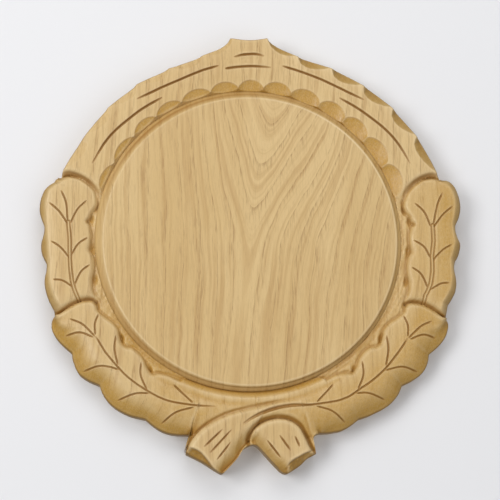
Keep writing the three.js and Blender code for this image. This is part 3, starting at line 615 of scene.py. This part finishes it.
def relief(x, z):
    """Layers of the carved face at places in the carving's own axes."""
    to_disc = np.hypot(x + CARVING_SHIFT, z) - RECESS_RADIUS
    x, z = made_even(x, z)
    ax = np.abs(x)
    phi = np.degrees(np.arctan2(ax, z))
    upper, lower = leaf_polygons()
    s_upper, s_lower = np.full(x.shape, -99.0), np.full(x.shape, -99.0)
    near = (phi > 62) & (phi < 118)
    s_upper[near] = signed(ax[near], z[near], upper)
    near = phi > 104
    s_lower[near] = signed(ax[near], z[near], lower)

    # collar and ground
    surface = blend(collar_relief(x, z, to_disc), ground_relief(x, z, to_disc), ease(*COLLAR_END, phi))
    edge_depth = 0.9 + 2.7 * ease(COLLAR_END[0] + 6, COLLAR_END[0] - 2, phi)
    groove(surface, np.where(s_upper < 0, s_upper, 99), 1.7, edge_depth, 0.85)
    groove(surface, np.where((s_lower < 0) & (s_upper <= 0), s_lower, 99), 1.3, 1.0)

    # leaves
    for leaf, s, beside in ((upper_leaf, s_upper, s_lower), (lower_leaf, s_lower, to_disc)):
        m = s > -1
        surface[:, m] = blend(surface[:, m], leaf(ax[m], z[m], beside[m]), seam(s[m]))

    # the right leaves get more cut colour, most of all on their outer slopes: painted shade on the side away
    # from the light
    at_least(surface, CUT, (x > 0) * seam(s_upper) * (0.4 + 0.5 * ease(103, 113, ax)))
    at_least(surface, CUT, (x > 0) * seam(s_lower) * (0.25 + 0.6 * ease(98, 108, np.hypot(x, z))))

    # stems
    m = (z < -88) & (ax < 45)
    stems = stems_relief(surface[:, m], x[m], z[m])
    stem_end_cuts(stems, x[m], z[m])
    surface[:, m] = stems

    surface[HEIGHT] = np.clip(surface[HEIGHT], RECESS_FLOOR + 0.6, BOARD - 0.01)
    surface[CUT:] = np.clip(surface[CUT:], 0, 1)
    return surface


# Meshes
def new_object(name, verts, faces, flat_from=None):
    """A smooth shaded mesh object, flat shaded from a given face on."""
    mesh = bpy.data.meshes.new(name)
    mesh.from_pydata(np.asarray(verts).tolist(), [], faces)
    mesh.validate()
    smooth = np.ones(len(mesh.polygons), bool)
    if flat_from is not None:
        smooth[flat_from:] = False
    mesh.polygons.foreach_set("use_smooth", smooth)
    mesh.update()
    obj = bpy.data.objects.new(name, mesh)
    bpy.context.collection.objects.link(obj)
    return obj


def set_attribute(obj, name, values):
    layer = obj.data.attributes.new(name, "FLOAT", "POINT")
    layer.data.foreach_set("value", values.astype(np.float32))


def to_frame(points):
    """Plaque places (x, z, height) in millimetres to frame metres."""
    p = np.asarray(points, float)
    return np.stack([p[:, 0], -p[:, 2], p[:, 1]], -1) * MM


def blurred(a, reach):
    """Mean over the places within a reach, round the plaque and across its band."""
    count = 2 * reach + 1
    out = sum(np.roll(a, s, axis=1) for s in range(-reach, reach + 1)) / count
    pad = np.pad(out, ((reach, reach), (0, 0)), mode="edge")
    return sum(pad[s:s + a.shape[0]] for s in range(count)) / count


class Shell:
    """Loops of points joined by walls and flat faces into one closed body."""

    def __init__(self):
        self.points, self.faces = [], []

    def loop(self, places, height):
        start = len(self.points)
        heights = np.broadcast_to(height, (len(places),))
        self.points += [(p[0], p[1], h) for p, h in zip(places, heights)]
        return list(range(start, len(self.points)))

    def wall(self, low, high):
        """Faces between two loops that run clockwise as seen from the front, outward from low to high."""
        for k in range(len(low)):
            n = (k + 1) % len(low)
            self.faces.append((low[k], low[n], high[n], high[k]))

    def flat(self, outer, holes, front):
        """A flat face with holes between loops of equal height."""
        loops = [outer] + holes
        index = [i for loop in loops for i in loop]
        flat_points = [Vector(self.points[i][:2]) for i in index]
        edges, start = [], 0
        for loop in loops:
            edges += [(start + k, start + (k + 1) % len(loop)) for k in range(len(loop))]
            start += len(loop)
        triangles = delaunay_2d_cdt(flat_points, edges, [], 1, 1e-7)[2]
        shapes = [np.array([self.points[i][:2] for i in hole]) for hole in holes]
        for tri in triangles:
            middle = sum((flat_points[k] for k in tri), Vector((0, 0))) / 3
            if any(inside(np.array([middle.x]), np.array([middle.y]), shape)[0] for shape in shapes):
                continue
            a, b, c = (flat_points[k] for k in tri)
            turns_left = (b - a).cross(c - a) > 0
            ordered = tri if turns_left == front else tri[::-1]
            self.faces.append(tuple(index[k] for k in ordered))


def circle(x, z, radius, steps=28):
    turns = [2 * math.pi * k / steps for k in range(steps)]
    return [(x + radius * math.sin(t), z + radius * math.cos(t)) for t in turns]


def pocket_outline():
    places = []
    corners = [(1, POCKET_HIGH, 0), (1, POCKET_LOW, 90), (-1, POCKET_LOW, 180), (-1, POCKET_HIGH, 270)]
    for side, level, start in corners:
        cx = side * (POCKET_HALF_WIDTH - POCKET_CORNER)
        cz = level - POCKET_CORNER if level == POCKET_HIGH else level + POCKET_CORNER
        for k in range(7):
            a = math.radians(start + 15 * k)
            places.append((cx + POCKET_CORNER * math.sin(a), cz + POCKET_CORNER * math.cos(a)))
    return places


# The rim's rounding, the chamfer at its back, and the levels of its wall as shares of the way down
RIM_ROUNDING = 0.9
CHAMFER_HEIGHT = 0.6
CHAMFER_WIDTH = 0.5
WALL_SHARES = (0.06, 0.4, 0.75)
WALL_FOOT = 1.0

# The near and the wide blur reach over the round divided by these
NEAR_BLUR = 400
WIDE_BLUR = 150


def make_wreath():
    """The wreath board as one closed body with its recess, holes and pocket."""
    n, m = ROUND_STEPS, BAND_STEPS
    angles = np.arange(n) * 2 * math.pi / n
    reach = rim_radius(angles)
    v = np.linspace(0, 1, m + 1)[:, None]
    r = RECESS_RADIUS + (reach[None, :] - RECESS_RADIUS) * v
    x, z = r * np.sin(angles)[None, :], r * np.cos(angles)[None, :]
    h, cut, darkening = relief(x - CARVING_SHIFT, z)
    h[0] = np.minimum(h[0], MOAT + 0.2)
    h -= RIM_ROUNDING * np.clip(1 - (reach - r) / RIM_ROUNDING, 0, 1) ** 2

    # painted shade in hollows and painted highlight on sharp edges, from each place's height against its
    # surroundings
    near = blurred(h, n // NEAR_BLUR) - h
    wide = blurred(blurred(h, n // WIDE_BLUR), n // WIDE_BLUR) - h
    hollow_shade_edge_highlight = np.clip(near * 2.4, -1, 0.5) * 0.6 + np.clip(wide * 0.45, -1, 1) * 0.5
    # beside the disc the painted shade is weaker on the left side, and the left upper lip gets painted
    # highlight, where the light falls
    hollow_shade_edge_highlight *= 1 - 0.85 * np.clip(2.2 - (r - RECESS_RADIUS) / 1.8, 0, 1) * ease(30, -30, x - 0.5 * z)
    hollow_shade_edge_highlight -= 0.8 * np.clip(1.3 - (r - RECESS_RADIUS) / 1.5, 0, 1) * ease(0, -40, x) * ease(-10, 30, z)

    shell = Shell()
    rings = [shell.loop(np.stack([x[i], z[i]], -1), h[i]) for i in range(m + 1)]
    rim = np.stack([x[-1], z[-1]], -1)
    for share in WALL_SHARES:
        rings.append(shell.loop(rim, h[-1] * (1 - share) + CHAMFER_HEIGHT * share))
    rings += [shell.loop(rim, level) for level in (WALL_FOOT, CHAMFER_HEIGHT)]
    foot = shell.loop(rim * (1 - CHAMFER_WIDTH / reach[:, None]), 0)
    rings.append(foot)
    for low, high in zip(rings, rings[1:]):
        shell.wall(low, high)
    carved_points, carved_faces = len(shell.points), len(shell.faces)

    # recess for the disc, screw holes and hanger pocket
    floor = shell.loop(np.stack([x[0], z[0]], -1), RECESS_FLOOR)
    shell.wall(floor, rings[0])
    shanks, heads = [], []
    for angle in SCREW_ANGLES:
        cx, cz = clock(angle, SCREW_CIRCLE)
        hole = [shell.loop(circle(cx, cz, radius), level) for radius, level in SCREW_HOLE]
        for above, below in zip(hole, hole[1:]):
            shell.wall(below, above)
        shanks.append(hole[0])
        heads.append(hole[-1])
    shell.flat(floor, shanks, True)
    pocket_edge = shell.loop(pocket_outline(), 0)
    pocket_floor = shell.loop(pocket_outline(), POCKET_DEPTH)
    shell.wall(pocket_edge, pocket_floor)
    shell.flat(pocket_floor, [], False)
    shell.flat(foot, heads + [pocket_edge], False)

    obj = new_object("wreath_carving", to_frame(shell.points), shell.faces, carved_faces)
    rest = len(shell.points) - (m + 1) * n
    for name, values, plain in (("hollow_shade_edge_highlight", hollow_shade_edge_highlight, 0.0), ("fresh_cut", cut, 0.75), ("crease_shade_and_end_grain", darkening, 0.0)):
        filled = np.concatenate([values.ravel(), np.full(rest, plain)])
        filled[carved_points:] = 0
        set_attribute(obj, name, filled)
    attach(obj, "board")
    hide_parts("carved_wreath")
    return obj


# The disc's edge by clock angle: how brown its bevel is at the top and the foot, as painted shade, and how
# pale its arris, as painted highlight
DISC_EDGE = [
    (0, 0.6, 0.3, 0.4), (45, 0.3, 0.25, 0.95), (90, 0, 0, 0.6), (135, 0.4, 0.2, 0.35), (180, 0.25, 0.3, 0.5),
    (225, 0.6, 0.45, 0.4), (270, 0, 0, 0.25), (315, 0.9, 0.1, 0.2), (360, 0.6, 0.3, 0.4),
]

# The disc's section from its face to its back: radius and height
DISC_PROFILE = [
    (20, BOARD), (45, BOARD), (70, BOARD), (80, BOARD), (82.9, 19.99), (83.5, 19.94), (83.9, 19.82),
    (84.3, 19.55), (84.8, 19.1), (85.4, 18.5), (86.4, 17.7), (DISC_RADIUS, 17.1), (DISC_RADIUS, 10.7),
    (87.0, 10.4), (20, 10.4),
]
# Rings above this height follow the shift of the face
FACE_LEVEL = 19
DISC_STEPS = 360


def make_disc():
    """The turned disc with its bevelled edge."""
    shell = Shell()
    rings = []
    for r, h in DISC_PROFILE:
        cx, cz = FACE_SHIFT if h > FACE_LEVEL else (0, 0)
        rings.append(shell.loop(circle(cx, cz, r, DISC_STEPS), h))
    for low, high in zip(rings, rings[1:]):
        shell.wall(low, high)
    shell.flat(rings[0], [], True)
    shell.flat(rings[-1], [], False)
    obj = new_object("disc_panel", to_frame(shell.points), shell.faces)
    x, z, h = np.array(shell.points).T
    angles, brown, foot_brown, pale = np.array(DISC_EDGE).T
    turn = np.degrees(np.arctan2(x, z)) % 360
    bevel, foot = ease(19.4, 18.5, h), ease(18.6, 17.4, h)
    # painted shade on the bevel, set by clock angle
    painted_bevel_shade = np.interp(turn, angles, brown) * (1 - foot) + np.interp(turn, angles, foot_brown) * foot
    set_attribute(obj, "bevel_shade", painted_bevel_shade * bevel)
    set_attribute(obj, "bevel", bevel)
    set_attribute(obj, "arris_highlight", np.interp(turn, angles, pale))
    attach(obj, "board")
    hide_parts("centre_disc")
    return obj


# Materials
def srgb(r, g, b):
    """A colour's linear values from its sRGB levels."""
    def linear(c):
        c /= 255
        return c / 12.92 if c <= 0.04045 else ((c + 0.055) / 1.055) ** 2.4
    return (linear(r), linear(g), linear(b))


OAK_PALE = srgb(214, 184, 130)
OAK_TAN = srgb(206, 174, 118)
OAK_BROWN = srgb(186, 149, 94)
OAK_PORE = srgb(150, 112, 62)
CUT_ORANGE = srgb(189, 145, 59)
# painted shade in hollows and on the disc's bevel
SHADE_BROWN = srgb(152, 104, 38)
LINE_BROWN = srgb(140, 95, 36)
# painted highlight on sharp edges and on the disc's arris
EDGE_HIGHLIGHT = srgb(234, 210, 164)

# The vees of the disc's grain: where they begin, how far they open to each side and fade there,
# and how round their points are
VEE_START = 15.0
VEE_LEFT = 15.0
VEE_LEFT_FADE = 20
VEE_RIGHT = 45.0
VEE_RIGHT_FADE = 60
VEE_ROUNDING = 5.0


class Shader:
    """A principled material whose nodes are added by short calls, with lengths in millimetres."""

    def __init__(self, name):
        self.material = bpy.data.materials.new(name)
        self.material.use_nodes = True
        self.nodes, self.links = self.material.node_tree.nodes, self.material.node_tree.links
        self.nodes.clear()
        self.surface = self.nodes.new("ShaderNodeBsdfPrincipled")
        output = self.nodes.new("ShaderNodeOutputMaterial")
        self.links.new(self.surface.outputs[0], output.inputs[0])
        places = self.nodes.new("ShaderNodeTexCoord").outputs["Object"]
        scale = self.nodes.new("ShaderNodeVectorMath")
        scale.operation = "SCALE"
        scale.inputs["Scale"].default_value = 1 / MM
        self.links.new(places, scale.inputs[0])
        self.places = scale.outputs[0]
        split = self.nodes.new("ShaderNodeSeparateXYZ")
        self.links.new(self.places, split.inputs[0])
        self.x, self.y, self.z = split.outputs

    def feed(self, socket, value):
        if isinstance(value, (int, float)):
            socket.default_value = value
        elif isinstance(value, tuple):
            socket.default_value = (*value, 1)
        else:
            self.links.new(value, socket)

    def math(self, operation, *values):
        node = self.nodes.new("ShaderNodeMath")
        node.operation = operation
        for socket, value in zip(node.inputs, values):
            self.feed(socket, value)
        return node.outputs[0]

    def add(self, a, b):
        return self.math("ADD", a, b)

    def times(self, a, b):
        return self.math("MULTIPLY", a, b)

    def most(self, a, b):
        return self.math("MAXIMUM", a, b)

    def vector(self, x, y, z):
        node = self.nodes.new("ShaderNodeCombineXYZ")
        for socket, value in zip(node.inputs, (x, y, z)):
            self.feed(socket, value)
        return node.outputs[0]

    def noise(self, cell, detail=2.0, rough=0.5, places=None, shift=(0, 0, 0)):
        """Noise whose features are about a cell's three lengths in size."""
        mapping = self.nodes.new("ShaderNodeMapping")
        mapping.inputs["Scale"].default_value = tuple(1 / c for c in cell)
        mapping.inputs["Location"].default_value = shift
        self.links.new(places or self.places, mapping.inputs["Vector"])
        node = self.nodes.new("ShaderNodeTexNoise")
        node.inputs["Scale"].default_value = 1.0
        node.inputs["Detail"].default_value = detail
        node.inputs["Roughness"].default_value = rough
        self.links.new(mapping.outputs[0], node.inputs["Vector"])
        return node.outputs["Fac"]

    def fade(self, value, start, end, low=0.0, high=1.0):
        """low up to start, high from end, with a smooth change between."""
        node = self.nodes.new("ShaderNodeMapRange")
        node.interpolation_type = "SMOOTHSTEP"
        for name, number in (("From Min", start), ("From Max", end), ("To Min", low), ("To Max", high)):
            node.inputs[name].default_value = number
        self.links.new(value, node.inputs["Value"])
        return node.outputs[0]

    def mix(self, share, a, b):
        node = self.nodes.new("ShaderNodeMix")
        node.data_type = "RGBA"
        for socket, value in ((node.inputs["Factor"], share), (node.inputs[6], a), (node.inputs[7], b)):
            self.feed(socket, value)
        return node.outputs[2]

    def attribute(self, name):
        node = self.nodes.new("ShaderNodeAttribute")
        node.attribute_name = name
        return node.outputs["Fac"]

    def bump(self, height, distance, strength):
        node = self.nodes.new("ShaderNodeBump")
        node.inputs["Strength"].default_value = strength
        node.inputs["Distance"].default_value = distance
        self.links.new(height, node.inputs["Height"])
        self.links.new(node.outputs[0], self.surface.inputs["Normal"])


def cathedral(s):
    """Growth-ring coordinate of the disc's board: upright rings that open into vees above its middle."""
    rising = s.times(s.add(s.z, s.math("SQRT", s.add(s.times(s.z, s.z), VEE_START ** 2))), 0.5)
    past_right = s.most(s.add(s.x, -VEE_RIGHT), 0.0)
    right = s.math("EXPONENT", s.times(past_right, -1 / VEE_RIGHT_FADE))
    past_left = s.most(s.add(s.times(s.x, -1.0), -VEE_LEFT), 0.0)
    left = s.math("EXPONENT", s.times(past_left, -1 / VEE_LEFT_FADE))
    opening = s.times(right, left)
    lean = s.times(s.add(s.times(s.z, 0.1), s.times(rising, 0.1)), opening)
    warp = s.times(s.add(s.noise((16, 16, 42)), -0.5), 7.0)
    across = s.add(s.math("SUBTRACT", s.x, lean), warp)
    rounded = s.math("SQRT", s.add(s.times(across, across), VEE_ROUNDING ** 2))
    return s.math("SUBTRACT", rounded, s.times(s.times(rising, opening), 0.4))


def straight_rings(s):
    """Growth-ring coordinate of the wreath's board: nearly upright lines with slow bends."""
    warp = s.times(s.add(s.noise((22, 22, 70)), -0.5), 12.0)
    return s.add(s.add(s.add(s.x, s.times(s.z, -0.05)), s.times(s.y, 0.8)), warp)


def oak(name, rings, ring_width, first_ring, carved):
    """Varnished oak, with the marks of carving or the disc's bevel, both with painted shade and painted
    highlight.
    """
    s = Shader(name)
    ring = rings(s)
    uneven = s.times(s.add(s.noise((14, 1, 1), 1.0, places=s.vector(ring, 0.0, 0.0)), -0.5), 7.0)
    phase = s.math("FRACT", s.times(s.add(s.add(ring, uneven), -first_ring), 1 / ring_width))
    early = s.fade(phase, 0.0, 0.55, 1.0, 0.0)
    line = s.fade(phase, 0.0, 0.12, 1.0, 0.0)

    # short upright dashes of open pores, thick where a ring begins
    dashes = s.noise((0.55, 0.55, 9), 2.0, 0.6)
    fine_dashes = s.noise((0.3, 0.3, 4.5), 2.0, 0.6, shift=(3, 1, 7))
    pores = s.times(s.fade(dashes, 0.52, 0.66), s.add(s.times(early, 0.55), 0.2))
    pores = s.add(pores, s.times(s.fade(fine_dashes, 0.54, 0.68), 0.28))
    dark_line = s.times(line, s.fade(s.noise((1.1, 1.1, 14), 2.0, 0.6, shift=(9, 4, 2)), 0.34, 0.6))

    # broad tones, then streaks that follow the rings, then lines and pores
    broad = s.noise((34, 34, 160))
    color = s.mix(s.fade(broad, 0.35, 0.68), OAK_TAN, OAK_PALE)
    streaks = s.noise((2.6, 1, 90), 3.0, 0.6, places=s.vector(ring, 0.0, s.z))
    color = s.mix(s.fade(streaks, 0.42, 0.7, 0.0, 0.68), color, OAK_BROWN)
    color = s.mix(s.times(early, 0.14), color, OAK_BROWN)
    color = s.mix(s.times(dark_line, 0.5), color, OAK_PORE)
    color = s.mix(s.times(pores, 0.7 if carved else 0.6), color, OAK_PORE)
    if carved:
        cut, hollow_shade_edge_highlight = s.attribute("fresh_cut"), s.attribute("hollow_shade_edge_highlight")
        speckle = s.fade(s.noise((0.7, 0.7, 1.6), 3.0, 0.65), 0.35, 0.65, 0.7, 1.15)
        color = s.mix(s.times(s.times(cut, speckle), 0.84), color, CUT_ORANGE)
        net = s.fade(s.noise((0.5, 0.5, 0.8), 3.0, 0.7, shift=(5, 2, 6)), 0.5, 0.62)
        color = s.mix(s.times(s.times(cut, net), 0.35), color, OAK_PORE)
        # painted shade in hollows
        color = s.mix(s.math("MINIMUM", s.times(s.most(hollow_shade_edge_highlight, 0.0), 0.6), 0.6), color, SHADE_BROWN)
        # painted shade along cuts and furrows, and darker end grain of the sawn stem ends
        color = s.mix(s.times(s.attribute("crease_shade_and_end_grain"), 0.8), color, LINE_BROWN)
        # painted highlight on sharp edges
        color = s.mix(s.times(s.most(s.times(hollow_shade_edge_highlight, -1.0), 0.0), 0.4), color, EDGE_HIGHLIGHT)
    else:
        east, north = s.add(s.x, -FACE_SHIFT[0]), s.add(s.z, -FACE_SHIFT[1])
        radius = s.math("SQRT", s.add(s.times(east, east), s.times(north, north)))
        # painted highlight on the face's arris, the bevel's cut colour, then painted shade on the bevel
        arris = s.times(s.fade(radius, 82.8, 83.7), s.fade(radius, 83.9, 84.6, 1.0, 0.0))
        color = s.mix(s.times(arris, s.times(s.attribute("arris_highlight"), 0.8)), color, EDGE_HIGHLIGHT)
        color = s.mix(s.times(s.attribute("bevel"), 0.2), color, CUT_ORANGE)
        color = s.mix(s.attribute("bevel_shade"), color, SHADE_BROWN)
    s.feed(s.surface.inputs["Base Color"], color)
    gloss = s.noise((5, 5, 20), shift=(1, 8, 3))
    s.feed(s.surface.inputs["Roughness"], s.add(s.fade(gloss, 0.3, 0.7, 0.3, 0.42), s.times(pores, 0.25)))
    s.surface.inputs["Specular IOR Level"].default_value = 0.42
    s.bump(s.math("SUBTRACT", s.times(streaks, 0.3), pores), 0.12 * MM, 0.5)
    return s.material


def plated_metal(name, color, rough):
    """Bright metal with faint darker patches."""
    s = Shader(name)
    s.surface.inputs["Metallic"].default_value = 1.0
    grime = s.noise((1.1, 1.1, 1.1), 4.0)
    darker = tuple(c * 0.8 for c in color)
    s.feed(s.surface.inputs["Base Color"], s.mix(s.fade(grime, 0.35, 0.65), darker, color))
    s.feed(s.surface.inputs["Roughness"], s.add(s.times(grime, 0.25), rough))
    return s.material


ZINC = (0.62, 0.63, 0.65)
BRASS = (0.72, 0.52, 0.22)


def dress(obj, material):
    obj.data.materials.clear()
    obj.data.materials.append(material)


dress(make_wreath(), oak("oak_carved", straight_rings, 9.0, 2.0, True))
dress(make_disc(), oak("oak_turned", cathedral, 10.0, 7.0, False))
zinc = plated_metal("zinc_plate", ZINC, 0.28)
brass = plated_metal("brass_plate", BRASS, 0.22)
for node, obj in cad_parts.items():
    if node.startswith("disc_screw"):
        obj.material_slots[0].material = zinc
    elif node.startswith("hanger"):
        obj.material_slots[0].material = brass


# Stage, light and camera, in metres
FLOOR_COLOR = (0.81, 0.81, 0.822, 1)
BACKDROP_COLOR = (0.83, 0.83, 0.845, 1)
WORLD_COLOR = (0.96, 0.97, 1.0, 1)
WORLD_STRENGTH = 0.25
FLOOR_HALF = 0.42
FLOOR_GAP = 0.0006

# Each light's name, place, width and height, and power in watts
LIGHTS = [
    ("window", (-1.1, -1.45, 0.1), (0.7, 1.1), 15.5),
    ("overhead", (0.0, -1.1, 0.85), (1.3, 0.8), 6.9),
    ("fill", (0.7, -1.75, -0.55), (2.0, 2.0), 11.6),
    ("back_light", (0.0, 2.6, 1.2), (0.3, 0.3), 40),
]


def make_floor():
    """A pale floor behind the plaque, clear from behind so that the back can be seen."""
    sides = [(-1, -1), (1, -1), (1, 1), (-1, 1)]
    corners = [(x * FLOOR_HALF, FLOOR_GAP, z * FLOOR_HALF) for x, z in sides]
    obj = new_object("pale_floor", corners, [(0, 1, 2, 3)], 0)
    material = bpy.data.materials.new("pale_floor")
    material.use_nodes = True
    nodes, links = material.node_tree.nodes, material.node_tree.links
    nodes.clear()
    output = nodes.new("ShaderNodeOutputMaterial")
    diffuse = nodes.new("ShaderNodeBsdfDiffuse")
    diffuse.inputs["Color"].default_value = FLOOR_COLOR
    clear = nodes.new("ShaderNodeBsdfTransparent")
    geometry = nodes.new("ShaderNodeNewGeometry")
    mix = nodes.new("ShaderNodeMixShader")
    links.new(geometry.outputs["Backfacing"], mix.inputs[0])
    links.new(diffuse.outputs[0], mix.inputs[1])
    links.new(clear.outputs[0], mix.inputs[2])
    links.new(mix.outputs[0], output.inputs[0])
    obj.data.materials.append(material)
    obj.visible_shadow = False
    obj.visible_diffuse = False
    obj.visible_glossy = False


def area_light(name, location, size, power):
    data = bpy.data.lights.new(name, "AREA")
    data.shape = "RECTANGLE"
    data.size, data.size_y = size
    data.energy = power
    obj = bpy.data.objects.new(name, data)
    bpy.context.collection.objects.link(obj)
    obj.location = location
    obj.rotation_euler = (-Vector(location)).to_track_quat("-Z", "Y").to_euler()


def make_world():
    """Soft light from all round, seen by the camera as a plain backdrop."""
    studio = bpy.data.worlds.new("studio")
    studio.use_nodes = True
    nodes, links = studio.node_tree.nodes, studio.node_tree.links
    light = nodes["Background"]
    light.inputs[0].default_value = WORLD_COLOR
    light.inputs[1].default_value = WORLD_STRENGTH
    backdrop = nodes.new("ShaderNodeBackground")
    backdrop.inputs[0].default_value = BACKDROP_COLOR
    path = nodes.new("ShaderNodeLightPath")
    mix = nodes.new("ShaderNodeMixShader")
    links.new(path.outputs["Is Camera Ray"], mix.inputs[0])
    links.new(light.outputs[0], mix.inputs[1])
    links.new(backdrop.outputs[0], mix.inputs[2])
    links.new(mix.outputs[0], nodes["World Output"].inputs[0])
    bpy.context.scene.world = studio


make_floor()
make_world()
for light in LIGHTS:
    area_light(*light)

# The photograph's camera, solved from the disc's ellipse and the plaque's outline
CAMERA_AZIMUTH = math.radians(-3.26)
CAMERA_ELEVATION = math.radians(-12.31)
CAMERA_ROLL = math.radians(0.9)
CAMERA_DISTANCE = 0.8
FOCAL_PIXELS = 1403.9
PICTURE_PIXELS = 500
DISC_PIXEL = (248.95, 236.79)
SENSOR = 36.0
CLIP_RANGE = (0.05, 20)


def make_camera():
    """A camera that looks at the disc's middle, which the lens shift puts on its pixel."""
    data = bpy.data.cameras.new("camera")
    camera = bpy.data.objects.new("camera", data)
    bpy.context.collection.objects.link(camera)
    level = math.cos(CAMERA_ELEVATION)
    east, south = math.sin(CAMERA_AZIMUTH) * level, math.cos(CAMERA_AZIMUTH) * level
    away = Vector((east, -south, math.sin(CAMERA_ELEVATION)))
    camera.location = Vector((0, -BOARD * MM, 0)) + away * CAMERA_DISTANCE
    camera.rotation_mode = "QUATERNION"
    roll = Matrix.Rotation(-CAMERA_ROLL, 4, "Z").to_quaternion()
    camera.rotation_quaternion = (-away).to_track_quat("-Z", "Y") @ roll
    data.sensor_width = SENSOR
    data.lens = SENSOR * FOCAL_PIXELS / PICTURE_PIXELS
    data.shift_x = (PICTURE_PIXELS / 2 - DISC_PIXEL[0]) / PICTURE_PIXELS
    data.shift_y = (DISC_PIXEL[1] - PICTURE_PIXELS / 2) / PICTURE_PIXELS
    data.clip_start, data.clip_end = CLIP_RANGE
    bpy.context.scene.camera = camera


make_camera()
bpy.context.scene.view_settings.view_transform = "Standard"
